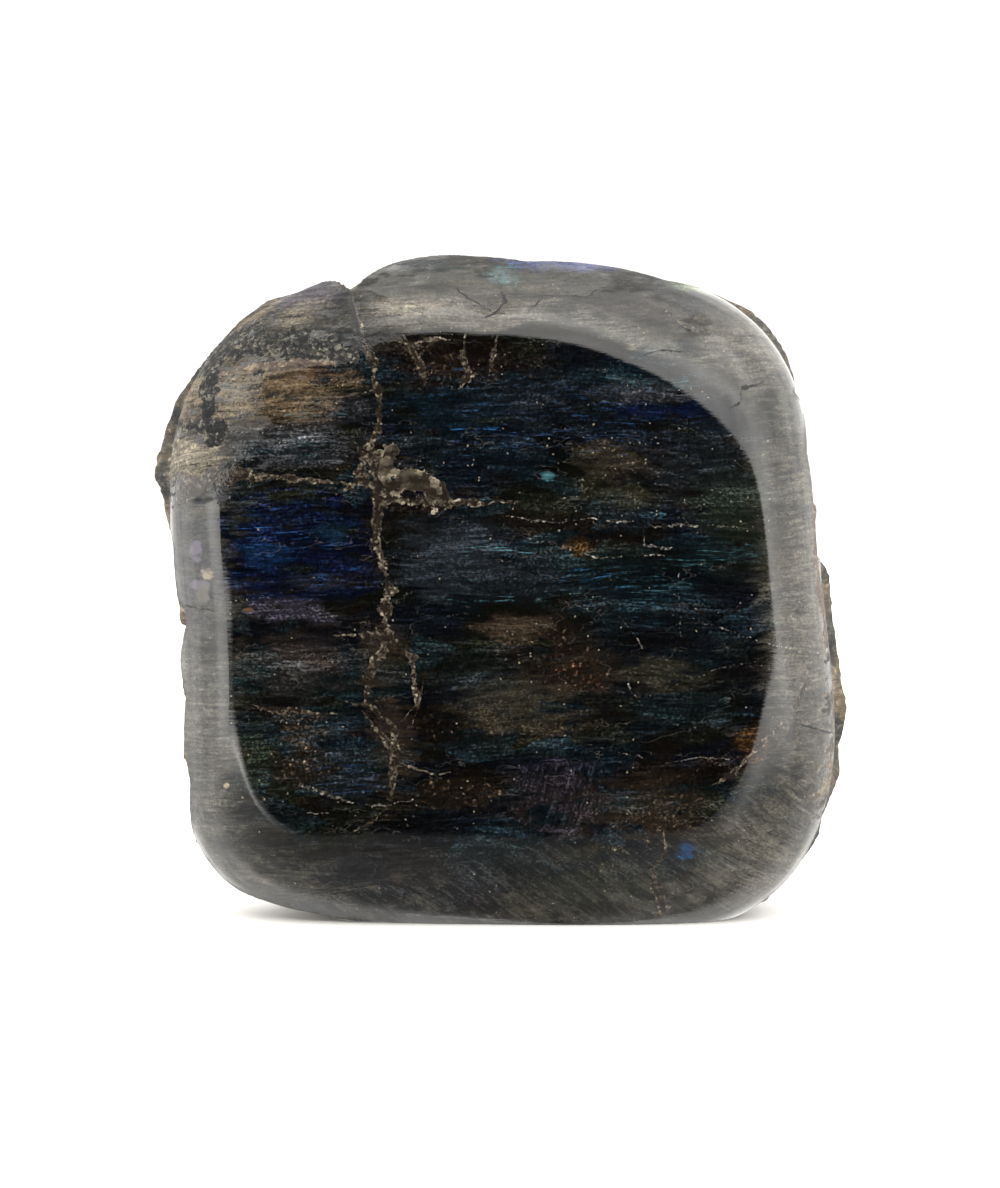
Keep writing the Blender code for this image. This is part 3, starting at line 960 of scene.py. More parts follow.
# Where the thin layers flash blue.
FLASHES = (
    Patch(-39.0, 68.0, 12.0, 8.5, Tone.AZURE, 0.35, 0.8),
    Patch(-46.5, 71.8, 4.0, 1.0, Tone.AZURE, 0.9, 0.6),
    Patch(-37.0, 91.2, 10.0, 0.9, Tone.CYAN, 0.7, 0.6),
    Patch(-53.5, 83.4, 4.5, 0.8, Tone.CYAN, 0.5, 0.6),
    Patch(6.0, 91.0, 30.0, 8.5, Tone.AZURE, 0.22, 0.8),
    Patch(-4.0, 88.6, 9.0, 0.9, Tone.AZURE, 0.8, 0.5),
    Patch(8.3, 80.6, 2.0, 1.8, Tone.CYAN, 0.6, 0.8),
    Patch(-1.0, 67.2, 8.0, 1.4, Tone.CYAN, 0.75, 0.6),
    Patch(-1.0, 58.7, 9.0, 0.7, Tone.CYAN, 0.9, 0.5),
    Patch(16.0, 62.8, 7.0, 2.6, Tone.AZURE, 0.5, 0.8),
    Patch(22.0, 61.0, 15.0, 6.5, Tone.CYAN, 0.2, 0.8),
    Patch(32.3, 14.2, 2.6, 2.2, Tone.AZURE, 0.8, 0.9),
    Patch(38.5, 67.2, 9.5, 2.2, Tone.CYAN, 0.5, 0.6),
    Patch(26.0, 97.0, 12.0, 1.4, Tone.CYAN, 0.4, 0.6),
    Patch(27.0, 73.6, 3.0, 0.9, Tone.CYAN, 0.7, 0.7),
    Patch(-28.0, 27.5, 8.0, 4.0, Tone.AZURE, 0.3, 0.8),
)

# Where the dome was left unpolished.
WORN = (
    Patch(-60.0, 91.0, 17.5, 14.5, Tone.TAN, 1.0, 0.25),
    Patch(-45.0, 112.0, 25.0, 13.0, Tone.TAN, 1.0, 0.25),
    Patch(22.6, 115.4, 8.0, 3.4, Tone.MATRIX, 0.8, 0.6),
    Patch(-1.0, 110.6, 5.0, 1.6, Tone.MATRIX, 0.7, 0.6),
    Patch(34.0, 107.2, 3.5, 2.6, Tone.MATRIX, 0.8, 0.6),
    Patch(-6.0, 119.5, 24.0, 4.0, Tone.OLIVE, 0.9, 0.6),
)

# Where the crust of the break reaches over the dome.
CRUSTED = (
    Patch(66.0, 50.0, 8.0, 26.0, Tone.TAN, 1.0, 0.25),
    Patch(64.0, 25.0, 8.0, 10.0, Tone.TAN, 1.0, 0.25),
    Patch(-66.0, 90.0, 4.5, 12.0, Tone.TAN, 1.0, 0.25),
)

# Where most of the small bright flecks are.
FLECKED = Patch(22.0, 84.0, 30.0, 24.0, Tone.SAND, 1.0, 0.9)

# Small places of one plain tone: pale chips and dark and rusty specks of the stone's own, and two painted
# blue glints where the layers flash.
CHIPS_AND_GLINTS = (
    Patch(32.3, 14.2, 1.8, 1.6, Tone.AZURE, 0.25, 0.99),
    Patch(8.1, 80.6, 1.2, 0.8, Tone.CYAN, 0.25, 0.99),
    Patch(-54.5, 66.9, 1.3, 1.6, Tone.LILAC, 0.9, 0.3),
    Patch(-52.3, 63.2, 1.4, 1.0, Tone.SAND, 0.7, 0.3),
    Patch(-53.6, 61.2, 1.8, 0.9, Tone.LILAC, 0.9, 0.3),
    Patch(-53.2, 59.3, 1.0, 1.9, Tone.STONE_GREY, 0.9, 0.3),
    Patch(-49.0, 25.4, 0.5, 0.6, Tone.SAND, 0.9, 0.3),
    Patch(57.4, 23.7, 1.2, 2.0, Tone.TAN, 0.7, 0.5, -30.0),
    Patch(51.3, 34.6, 0.7, 1.6, Tone.BLACK, 0.85, 0.4, -20.0),
    Patch(-44.6, 57.0, 0.9, 0.4, Tone.AMBER, 0.6, 0.8),
)

# Cracks and seams, in groups by where they lie.
SEAMS = (
    # The dull matrix of the top left corner, and the iron stain along its lower side.
    Seam(Fill.MATRIX, Run.ACROSS, (
        (-60.0, 98.0, 0.5), (-55.0, 101.5, 3.2), (-50.0, 103.5, 3.7), (-44.0, 103.7, 3.2),
        (-37.0, 103.4, 2.7), (-30.0, 102.2, 2.0), (-25.2, 101.6, 1.2),
    )),
    Seam(Fill.MATRIX, Run.UP, (
        (-51.5, 103.0, 2.0), (-52.4, 97.0, 2.0), (-52.0, 91.5, 2.1), (-50.9, 87.5, 2.4),
        (-50.3, 85.4, 1.0),
    )),
    Seam(Fill.MATRIX, Run.ACROSS, ((-63.5, 89.0, 0.4), (-58.5, 89.7, 0.6), (-53.0, 88.6, 1.4))),
    Seam(Fill.IRON, Run.ACROSS, (
        (-50.0, 98.6, 0.3), (-43.0, 99.8, 0.6), (-36.0, 100.4, 0.5), (-29.0, 100.1, 0.3),
    )),
    # The upright seam and its branches.
    Seam(Fill.CRUMB, Run.UP, (
        (-26.7, 113.0, 0.1), (-24.9, 107.1, 0.3), (-24.0, 103.9, 0.5), (-22.8, 100.9, 0.8),
        (-21.5, 93.0, 0.6), (-21.3, 89.5, 0.7), (-23.1, 85.7, 0.9), (-21.5, 77.8, 0.8),
        (-22.0, 69.1, 0.6), (-20.1, 61.6, 0.8), (-19.9, 59.0, 1.5), (-20.3, 55.2, 0.9),
        (-19.6, 51.4, 1.2), (-21.6, 49.0, 1.2), (-23.3, 44.8, 0.8), (-23.9, 41.3, 0.5),
        (-22.5, 39.3, 1.0), (-18.9, 36.3, 0.7), (-18.6, 32.4, 0.6), (-19.5, 23.5, 0.5),
        (-22.2, 19.9, 0.5), (-26.7, 17.2, 0.4),
    )),
    Seam(Fill.CRUMB, Run.UP, (
        (-18.4, 50.4, 0.3), (-15.9, 48.9, 1.0), (-15.4, 46.0, 0.8), (-15.1, 40.0, 0.25),
        (-18.0, 36.9, 0.2),
    )),
    Seam(Fill.CRUMB, Run.UP, ((-14.0, 44.5, 0.1), (-14.6, 41.0, 0.35), (-15.6, 36.5, 0.1)), 0.8),
    Seam(Fill.CRUMB, Run.UP, (
        (-24.6, 39.5, 0.1), (-22.6, 36.5, 0.4), (-20.0, 33.5, 0.7), (-19.0, 31.0, 0.3),
    )),
    Seam(Fill.CRUMB, Run.ACROSS, (
        (-18.6, 30.0, 0.6), (-15.0, 29.0, 0.45), (-11.5, 27.8, 0.35), (-8.5, 28.4, 0.1),
    ), 0.8),
    Seam(Fill.CRUMB, Run.ACROSS, ((-27.5, 41.0, 0.1), (-25.5, 40.3, 0.4), (-23.0, 40.6, 0.6))),
    Seam(Fill.CRUMB, Run.ACROSS, ((-30.5, 52.3, 0.1), (-26.0, 52.8, 0.5), (-21.0, 52.6, 1.0))),
    Seam(Fill.CRUMB, Run.ACROSS, (
        (-62.0, 77.0, 1.4), (-57.0, 78.3, 1.9), (-52.5, 79.4, 1.8), (-47.1, 80.5, 1.3),
        (-39.1, 80.1, 1.0), (-34.0, 79.7, 0.45), (-25.9, 79.0, 0.35), (-22.0, 78.9, 0.6),
    )),
    Seam(Fill.SHARD, Run.ACROSS, (
        (-22.4, 80.2, 4.0), (-20.5, 81.0, 4.6), (-17.5, 79.6, 3.7), (-13.5, 78.0, 2.4), (-9.5, 76.3, 1.4),
        (-6.5, 75.9, 0.5),
    )),
    Seam(Fill.CRUMB, Run.ACROSS, (
        (-22.0, 76.6, 0.3), (-16.0, 76.0, 0.8), (-8.0, 75.6, 0.7), (2.0, 75.9, 0.12),
    )),
    Seam(Fill.CRUMB, Run.UP, (
        (-25.6, 86.5, 0.2), (-24.2, 83.5, 0.6), (-25.0, 79.5, 1.1), (-27.5, 77.8, 0.5),
    )),
    Seam(Fill.CRUMB, Run.ACROSS, (
        (-44.0, 39.8, 0.1), (-42.4, 39.5, 0.7), (-38.5, 38.9, 0.8), (-35.0, 38.9, 0.3),
        (-27.0, 38.4, 0.12),
    )),
    Seam(Fill.CRUMB, Run.ACROSS, (
        (26.0, 111.9, 0.3), (31.3, 107.6, 0.8), (34.8, 106.0, 0.7), (36.2, 103.0, 0.4),
    ), 0.6),
    Seam(Fill.CRUMB, Run.UP, (
        (28.5, 20.0, 0.12), (28.9, 13.7, 0.2), (26.9, 10.6, 0.5), (27.6, 7.2, 0.9), (28.8, 3.7, 0.8),
        (27.0, 0.4, 0.8),
    )),
    Seam(Fill.CRUMB, Run.UP, (
        (55.5, 46.4, 0.12), (53.2, 41.7, 0.45), (50.6, 37.4, 0.3), (47.3, 34.3, 0.8), (43.7, 31.0, 0.7),
        (40.2, 27.5, 0.7), (36.6, 25.4, 0.2),
    ), 0.8),
    Seam(Fill.CRUMB, Run.UP, (
        (-17.4, 105.2, 0.3), (-15.4, 102.2, 0.5), (-14.2, 99.6, 0.8), (-13.2, 96.6, 0.3),
    )),
    Seam(Fill.CRUMB, Run.UP, ((-11.6, 105.0, 0.2), (-13.4, 102.8, 0.5), (-14.4, 101.0, 0.2))),
    Seam(Fill.CRUMB, Run.UP, (
        (-6.3, 105.6, 0.25), (-6.7, 101.6, 0.4), (-6.0, 98.0, 1.0), (-7.2, 95.8, 0.3),
    )),
    Seam(Fill.CRUMB, Run.ACROSS, (
        (-19.4, 104.4, 0.15), (-16.0, 103.5, 0.45), (-11.0, 104.6, 0.25), (-6.0, 103.9, 0.15),
    )),
    Seam(Fill.CRUMB, Run.UP, ((-0.6, 105.4, 0.15), (-1.4, 101.5, 0.5), (-2.2, 98.0, 0.25)), 0.8),
    # Thin healed cracks.
    Seam(Fill.PALE, Run.ACROSS, (
        (0.5, 73.5, 0.05), (8.8, 72.2, 0.16), (15.8, 73.1, 0.12), (20.5, 72.3, 0.2), (24.6, 72.7, 0.24),
        (26.7, 71.3, 0.14), (30.6, 71.8, 0.2), (45.0, 71.4, 0.04),
    )),
    Seam(Fill.PALE, Run.UP, ((24.6, 72.6, 0.12), (24.8, 69.1, 0.15), (25.6, 68.2, 0.1)), 0.8),
    Seam(Fill.PALE, Run.ACROSS, ((24.8, 68.5, 0.12), (28.5, 68.0, 0.2), (30.0, 67.9, 0.08)), 0.9),
    Seam(Fill.PALE, Run.ACROSS, (
        (13.0, 67.4, 0.1), (16.0, 66.3, 0.25), (20.6, 66.1, 0.25), (28.5, 66.7, 0.2),
    ), 0.6),
    Seam(Fill.PALE, Run.ACROSS, (
        (-36.0, 26.2, 0.1), (-34.5, 25.7, 0.3), (-30.5, 24.2, 0.4), (-26.9, 23.0, 0.35),
        (-23.1, 22.1, 0.2), (-16.0, 23.3, 0.25), (-14.5, 24.2, 0.1),
    ), 0.8),
    Seam(Fill.PALE, Run.ACROSS, ((-37.0, 20.7, 0.08), (-34.0, 20.8, 0.16), (-30.5, 20.8, 0.08)), 0.7),
    Seam(Fill.PALE, Run.ACROSS, (
        (14.5, 33.3, 0.05), (22.4, 31.5, 0.14), (28.6, 29.8, 0.16), (34.3, 30.7, 0.22),
        (40.5, 30.4, 0.12),
    ), 0.6),
    Seam(Fill.PALE, Run.ACROSS, (
        (31.5, 56.3, 0.05), (40.0, 53.2, 0.14), (47.6, 50.6, 0.18), (58.3, 48.3, 0.16),
    ), 0.7),
    Seam(Fill.PALE, Run.ACROSS, ((30.0, 43.5, 0.05), (38.0, 46.5, 0.12), (47.0, 48.0, 0.06)), 0.4),
    Seam(Fill.PALE, Run.UP, ((31.1, 64.0, 0.08), (31.2, 58.0, 0.13), (31.5, 52.0, 0.06)), 0.6),
    Seam(Fill.PALE, Run.UP, ((21.6, 44.9, 0.05), (22.4, 43.4, 0.2), (24.7, 40.2, 0.08)), 0.8),
    Seam(Fill.PALE, Run.UP, ((20.5, 56.0, 0.05), (24.0, 51.5, 0.16), (25.0, 49.5, 0.05)), 0.7),
    # Open dark cracks of the top and right shoulders.
    Seam(Fill.DARK, Run.UP, (
        (-27.4, 114.5, 0.4), (-25.6, 107.1, 0.4), (-24.8, 103.9, 0.3), (-23.6, 100.9, 0.2),
    )),
    Seam(Fill.DARK, Run.UP, ((-29.1, 111.0, 0.15), (-29.6, 109.0, 0.3), (-30.8, 107.0, 0.2))),
    Seam(Fill.DARK, Run.UP, ((-0.3, 114.4, 0.2), (0.6, 110.9, 0.35), (-2.9, 108.0, 0.25))),
    Seam(Fill.DARK, Run.UP, ((-8.0, 113.6, 0.15), (-5.6, 111.4, 0.35), (-2.0, 109.6, 0.3))),
    Seam(Fill.DARK, Run.UP, ((7.2, 112.0, 0.15), (5.6, 110.2, 0.3), (3.9, 108.6, 0.2))),
    Seam(Fill.DARK, Run.ACROSS, (
        (6.0, 112.3, 0.1), (15.0, 111.9, 0.25), (19.6, 114.6, 0.15), (24.0, 116.4, 0.1),
    ), 0.8),
    Seam(Fill.DARK, Run.ACROSS, ((24.0, 101.3, 0.1), (27.5, 102.4, 0.2), (32.0, 102.2, 0.2)), 0.9),
    Seam(Fill.DARK, Run.ACROSS, (
        (40.2, 92.4, 0.1), (41.9, 93.2, 0.3), (42.3, 95.9, 0.3), (46.5, 97.0, 0.15),
    )),
    Seam(Fill.DARK, Run.ACROSS, ((53.0, 36.5, 0.1), (56.0, 35.5, 0.3), (61.0, 33.4, 0.2)), 0.8),
    Seam(Fill.DARK, Run.ACROSS, ((-60.0, 57.3, 0.25), (-54.0, 56.9, 0.2), (-49.0, 56.0, 0.1)), 0.8),
    # The iron-stained line between the polish and the crust of the right side.
    Seam(Fill.IRON, Run.UP, (
        (55.6, 89.0, 0.2), (56.0, 80.0, 0.7), (56.5, 71.0, 0.8), (56.2, 64.0, 0.9), (58.2, 56.0, 0.8),
        (58.8, 50.5, 1.0), (60.6, 46.0, 0.8), (60.0, 36.0, 0.9), (60.5, 34.0, 0.2),
    ), 0.8),
)


# --------------------------------------------------------------------------------------------------
# The stone's finish
# --------------------------------------------------------------------------------------------------


@dataclass(frozen=True)
class FillFinish:
    """A seam's fill.

    It has the tones of its darkest and brightest grains, the width of its rim in mm, its roughness,
    and how strongly its grains lighten it.
    """

    dark: Tone
    bright: Tone
    rim: float
    roughness: float
    gain: float = 1.0


FILLS = {
    Fill.MATRIX: FillFinish(Tone.NIGHT, Tone.ASH, 0.3, 1.0, 3.2),
    Fill.SHARD: FillFinish(Tone.BROWN_BLACK, Tone.SAND, 0.3, 0.12, 2.2),
    Fill.IRON: FillFinish(Tone.RUST, Tone.TAN, 0.4, 0.5, 1.4),
    Fill.CRUMB: FillFinish(Tone.BROWN_BLACK, Tone.SAND, 0.35, 0.14, 0.72),
    Fill.PALE: FillFinish(Tone.BROWN_BLACK, Tone.BONE, 0.1, 0.08, 2.0),
    Fill.DARK: FillFinish(Tone.BLACK, Tone.BROWN_BLACK, 0.15, 0.6, 1.0),
}


@dataclass(frozen=True)
class Pull:
    """How strongly each pattern of the layers makes the stone brighter, as powers of e.

    All of it is darker by ease, and no power is under least.
    """

    fine: float = 6.2
    broad: float = 5.0
    grain: float = 5.5
    block: float = 0.6
    ease: float = 0.8
    least: float = -1.4


@dataclass(frozen=True)
class Cloud:
    """Plain noise, and the mask that is made of it.

    It has the size of its features in mm, how many finer layers it has, from which to which of its
    values the mask rises, and how strong that gets.
    """

    size: tuple[float, float, float]
    detail: float
    low: float = 0.0
    high: float = 1.0
    strength: float = 1.0


@dataclass(frozen=True)
class Cracks:
    """Hairline cracks.

    They have the size of the net that they make, in mm, their width as a share of it, how much of
    the stone has them, their tone and how strong it is.
    """

    size: tuple[float, float, float]
    width: float
    amount: float
    tone: Tone
    strength: float


@dataclass(frozen=True)
class LabradoriteFinish:
    """Dark layered feldspar: polished on the dome, split and crusted elsewhere."""

    ior: float = 1.56
    # Roughness of the polish, of its rim, of the haze on the shoulders, of the break and of the base.
    polished: float = 0.03
    dulled: float = 0.5
    haze_and_sheen: float = 0.22
    broken: float = 0.9
    ground: float = 0.45
    # How far ahead of the rim line the polish starts to dull, and half the width of that line.
    dulled_ahead: float = 5.0
    rim_blur: float = 0.5
    # From which depth to which depth the shoulders take on a painted pale sheen and turn rough; the sheen
    # stands in for part of the light tent's reflection in their polish.
    sheen_depths: tuple[float, float] = (-24.6, -21.5)
    rough_depths: tuple[float, float] = (-23.4, -20.0)
    shoulder_sheen: float = 0.65
    shoulder_contrast: float = 1.5
    # From which depth to which depth the crust turns darker, and by how much.
    back_depths: tuple[float, float] = (-14.0, 6.0)
    back_shade: float = -0.55
    # Up to which height the ground base shows, and where nothing of it is left.
    base_edge: tuple[float, float] = (0.08, 0.25)
    # The turn of the layers in degrees: of all, of those at the foot, and of the upright block.
    layer_turn: float = 1.5
    slant_turn: float = -38.0
    block_turn: float = 76.0
    # The slanted line over the foot: its slope, and the heights between which the turn sets in.
    slant_slope: float = -0.25
    slant_heights: tuple[float, float] = (13.0, 15.0)
    # The middle and the half size of the block with upright layers.
    block_middle: tuple[float, float] = (10.6, 24.0)
    block_half: tuple[float, float] = (7.5, 6.0)
    block_edge: float = 0.6
    # Noise that makes the edges of every marking wander, and wide waves that bend the layers.
    warp_size: float = 2.6
    warp: float = 1.42
    warp_detail: float = 3.0
    bend_size: float = 30.0
    bend: float = 6.0
    # Noise around 0 that makes the strength of markings and the width of seams uneven.
    uneven: Cloud = Cloud((5.5, 4.0, 1.7), 3.0)
    uneven_gain: float = 4.6
    nibbles: Cloud = Cloud((4.0, 4.0, 3.2), 4.0)
    nibble_gain: float = 5.4
    # Clouds of other tones in the ground colour and in the crust.
    olive_cloud: Cloud = Cloud((24.0, 14.0, 8.0), 2.0, 0.42, 0.58)
    brown_cloud: Cloud = Cloud((13.0, 11.0, 6.5), 3.0, 0.5, 0.62, 0.8)
    crust_cloud: Cloud = Cloud((22.0, 18.0, 13.0), 4.0, 0.38, 0.64)
    crust_stain: Cloud = Cloud((11.0, 10.0, 8.0), 4.0, 0.47, 0.68)
    pale_cracks: Cracks = Cracks((16.0, 9.0, 6.0), 0.004, 0.7, Tone.STONE_GREY, 0.5)
    dark_cracks: Cracks = Cracks((9.0, 7.0, 4.0), 0.008, 1.15, Tone.BLACK, 0.85)
    # The small bright flecks: spacing and size in mm, strength, and how many there are outside of
    # FLECKED, where there are most, and in the dull and the bright layers.
    fleck_spacing: float = 1.0
    fleck_size: float = 0.2
    fleck_strength: float = 0.7
    fleck_least: float = 0.4
    fleck_shares: tuple[float, float] = (0.03, 0.5)
    pull: Pull = Pull()
    # The brightness of all the colours together.
    exposure: float = 0.55
    # The grains in the seams: their size in mm, and how many finer layers their wobble has.
    crumb_size: float = 0.6
    crumb_detail: float = 1.0
    shard_size: float = 1.9
    shard_detail: float = 3.0
    # The relief: sizes of its pits and layers, and its heights on each kind of surface, in mm.
    pit_size: tuple[float, float, float] = (1.1, 1.1, 0.9)
    layer_size: tuple[float, float, float] = (5.0, 4.0, 0.7)
    relief_detail: float = 3.0
    polish_relief: float = 0.005
    shoulder_relief: float = 0.03
    worn_relief: float = 0.3
    break_relief: float = 0.3

    def dress(self, stone: bpy.types.Object) -> None:
        """Gives the stone its material.

        Args:
            stone: The stone.
        """
        material = bpy.data.materials.new("labradorite")
        material.use_nodes = True
        StoneSheet(self, material).draw()
        stone.data.materials.append(material)


class StoneSheet:
    """Draws the node tree of the stone's material, one layer over the other."""

    def __init__(self, finish: LabradoriteFinish, material: bpy.types.Material) -> None:
        """Sets up the places and the patterns that every layer reads.

        Args:
            finish: The values of the finish.
            material: The material to draw in.
        """
        self.finish = finish
        self.graph = Graph(material.node_tree)
        self.shader = material.node_tree.nodes["Principled BSDF"]
        self.groups = {
            "lamellae": lamella_group(), "cracks": crack_group(), "flecks": fleck_group(),
            "crumb": crumb_group(), "wander": wander_group(), "cloud": cloud_group(),
        }
        graph = self.graph
        metres = graph.node("ShaderNodeTexCoord", {}).outputs["Object"]
        self.place = graph.times(metres, 1.0 / MM)
        self.bent = self.moved(self.place, finish.bend_size, finish.bend, 1.0)
        self.ragged = self.moved(self.place, finish.warp_size, finish.warp, finish.warp_detail)
        self.x, self.y, self.z = graph.node("ShaderNodeSeparateXYZ", {0: self.place}).outputs
        self.across, _, self.up = graph.node("ShaderNodeSeparateXYZ", {0: self.ragged}).outputs
        self.uneven = self.centred(finish.uneven, finish.uneven_gain)
        self.nibbled = self.centred(finish.nibbles, finish.nibble_gain)
        self.layers = self.lamellae()
        shift = graph.math("MULTIPLY_ADD", self.layers["Block"], 0.5, self.uneven)
        self.spread = graph.math("ADD", shift, SPREAD)
        root = graph.math("SQRT", graph.math("MAXIMUM", self.spread, 0.0))
        self.oval = graph.node("ShaderNodeCombineXYZ", {0: self.across, 1: root, 2: self.up}).outputs[0]
        feeds = {0: self.x, 1: math.sqrt(SPREAD), 2: self.z}
        self.plain_oval = graph.node("ShaderNodeCombineXYZ", feeds).outputs[0]
        self.crumbs, self.shards = (
            graph.group(self.groups["crumb"], {"Vector": self.place, "Size": size, "Detail": detail})[0]
            for size, detail in (
                (finish.crumb_size, finish.crumb_detail), (finish.shard_size, finish.shard_detail),
            )
        )

    def moved(self, vector: Feed, size: float, far: float, detail: float) -> Socket:
        """The vector moved about by noise.

        Args:
            vector: The place to move.
            size: Size of the waves.
            far: How far they move it, from one end to the other.
            detail: How many layers the noise has.

        Returns:
            The moved vector.
        """
        feeds = {"Vector": vector, "Size": size, "Far": far, "Detail": detail}
        return self.graph.group(self.groups["wander"], feeds)[0]

    def cloud(self, cloud: Cloud) -> Socket:
        """A cloud's values, around a half."""
        feeds = {"Vector": self.bent, "Size": cloud.size, "Detail": cloud.detail}
        return self.graph.group(self.groups["cloud"], feeds)[0]

    def clouded(self, cloud: Cloud) -> Socket:
        """A mask that rises where a cloud is dense."""
        return self.graph.step(self.cloud(cloud), cloud.low, cloud.high, 0.0, cloud.strength)

    def centred(self, cloud: Cloud, gain: float) -> Socket:
        """A cloud's values, made stronger and moved to lie around 0."""
        return self.graph.math("MULTIPLY_ADD", self.cloud(cloud), gain, -0.5 * gain)

    def lamellae(self) -> bpy.types.NodeOutputs:
        """Lays the layers: level on the face, slanted at its foot, upright in one block.

        Returns:
            What the group of the layers puts out.
        """
        graph, finish = self.graph, self.finish
        low, high = finish.slant_heights
        foot = graph.step(graph.math("MULTIPLY_ADD", self.x, finish.slant_slope, self.up), high, low)
        insides = []
        for value, middle, half in zip((self.across, self.up), finish.block_middle, finish.block_half):
            gap = graph.math("ABSOLUTE", graph.math("SUBTRACT", value, middle))
            insides.append(graph.math("SUBTRACT", half, gap))
        upright = graph.step(graph.math("MINIMUM", *insides), 0.0, finish.block_edge)
        slant, turn = math.radians(finish.slant_turn), math.radians(finish.layer_turn)
        turn = graph.math("MULTIPLY_ADD", foot, slant, turn)
        turn = graph.math("MULTIPLY_ADD", upright, math.radians(finish.block_turn), turn)
        feeds = {"Vector": self.bent, "Ragged": self.ragged, "Angle": turn}
        return graph.group(self.groups["lamellae"], feeds)

    def tinted(self, colour: Feed, gain: Feed) -> Socket:
        """The colour made brighter or darker."""
        grey = self.graph.node("ShaderNodeCombineColor", {0: gain, 1: gain, 2: gain}).outputs[0]
        return self.graph.mix(1.0, colour, grey, "MULTIPLY")

    def attribute(self, name: str) -> Socket:
        """A value kept on the mesh."""
        return self.graph.node("ShaderNodeAttribute", {}, attribute_name=name).outputs["Fac"]

    def patch(self, patch: Patch, place: Feed | None = None) -> Socket:
        """Masks one patch, by the distance from the middle of its oval, faded at the edge.

        Args:
            patch: The patch.
            place: Where to measure an untilted one, if that isn't the ragged place.

        Returns:
            The mask.
        """
        graph = self.graph
        cosine, sine = math.cos(math.radians(patch.tilt)), math.sin(math.radians(patch.tilt))
        axes = ((cosine, sine, patch.half_x), (-sine, cosine, patch.half_z))
        starts = [-(patch.x * along_x + patch.z * along_z) / half for along_x, along_z, half in axes]
        if patch.tilt:
            reach = self.spread
            for (along_x, along_z, half), start in zip(axes, starts):
                offset = graph.math("MULTIPLY_ADD", self.across, along_x / half, start)
                offset = graph.math("MULTIPLY_ADD", self.up, along_z / half, offset)
                reach = graph.math("MULTIPLY_ADD", offset, offset, reach)
        else:
            scale, start = (1.0 / patch.half_x, 1.0, 1.0 / patch.half_z), (starts[0], 0.0, starts[1])
            offset = graph.vector("MULTIPLY_ADD", self.oval if place is None else place, scale, start)
            reach = graph.vector("DOT_PRODUCT", offset, offset)
        full = (1.0 - patch.feather) ** 2 + SPREAD
        return graph.step(reach, PATCH_END + SPREAD, full, 0.0, patch.strength)

    def union(self, patches: tuple[Patch, ...], place: Feed | None = None) -> Socket:
        """Masks several patches at once.

        Args:
            patches: The patches.
            place: Where to measure them, if that isn't the ragged place.

        Returns:
            The mask.
        """
        whole: Feed = 0.0
        for patch in patches:
            whole = self.graph.math("MAXIMUM", whole, self.patch(patch, place))
        return whole

    def seam(self, seam: Seam) -> Socket:
        """Measures how deep a place is inside a seam, by one curve for its middle and one for its width.

        Args:
            seam: The seam.

        Returns:
            The depth in mm, below 0 outside the seam.
        """
        graph = self.graph
        if seam.run is Run.UP:
            route = [(z, x, half) for x, z, half in seam.points]
            along, across = self.up, self.across
        else:
            route = list(seam.points)
            along, across = self.across, self.up
        low, high = min(step[0] for step in route), max(step[0] for step in route)
        left, right = min(step[1] for step in route) - 1.0, max(step[1] for step in route) + 1.0
        widest = max(step[2] for step in route) + SEAM_FADE
        share = graph.share(along, low, high)
        middles, widths = [], [(0.0, 0.0), (1.0, 0.0)]
        for step, middle, half in route:
            place = (step - low) / (high - low)
            middles.append((place, (middle - left) / (right - left)))
            place = min(max(place, SEAM_END), 1.0 - SEAM_END)
            widths.append((place, (half * seam.width_share + SEAM_FADE) / widest))
        middle = graph.math("MULTIPLY_ADD", graph.curve(share, middles, "VECTOR"), right - left, left)
        half = graph.math("MULTIPLY_ADD", graph.curve(share, widths, "VECTOR"), widest, -SEAM_FADE)
        offset = graph.math("ABSOLUTE", graph.math("SUBTRACT", across, middle))
        half = graph.math("MULTIPLY_ADD", graph.math("ABSOLUTE", half), self.nibbled, half)
        return graph.math("SUBTRACT", half, offset)

    def weighed(self, start: Feed, *parts: tuple[Feed, float]) -> Socket:
        """A start with each part added to it, times its weight."""
        total = start
        for value, weight in parts:
            total = self.graph.math("MULTIPLY_ADD", value, weight, total)
        return total

    def body(self) -> Socket:
        """Paints the layered body of the stone, with its grainy areas, its flashes and the painted pale sheen
        of its shoulders.

        Returns:
            Its colour.
        """
        graph, finish, pull, layers = self.graph, self.finish, self.finish.pull, self.layers
        fine, broad, grain, block = (layers[name] for name in ("Fine", "Broad", "Grain", "Block"))
        night, olive = Tone.NIGHT.linear(), Tone.OLIVE_BLACK.linear()
        colour = graph.mix(self.clouded(finish.olive_cloud), night, olive)
        colour = graph.mix(self.clouded(finish.brown_cloud), colour, Tone.BROWN_BLACK.linear())
        colour = graph.mix(graph.step(block, 0.55, 0.8, 0.0, 0.5), colour, Tone.DEEP_TEAL.linear())
        for patch in LAYERED:
            colour = graph.mix(self.patch(patch), colour, patch.tone.linear())
        grainy: Feed = 0.0
        for patch in GRAINY:
            mask = self.patch(patch)
            colour = graph.mix(mask, colour, patch.tone.linear())
            grainy = graph.math("MAXIMUM", grainy, mask)
        # How bright each place is: by its layers, or by its crumbs where it is grainy.
        streaks = self.weighed(-0.5 * pull.fine, (fine, pull.fine))
        power = graph.blend(grainy, streaks, self.weighed(-0.65, (self.crumbs, 2.8)))
        power = self.weighed(power, (broad, pull.broad), (grain, pull.grain), (block, pull.block))
        rest = 0.5 * (pull.broad + pull.grain + pull.block) + pull.ease
        power = graph.math("MAXIMUM", graph.math("SUBTRACT", power, rest), pull.least)
        lit = self.tinted(colour, graph.math("EXPONENT", power))
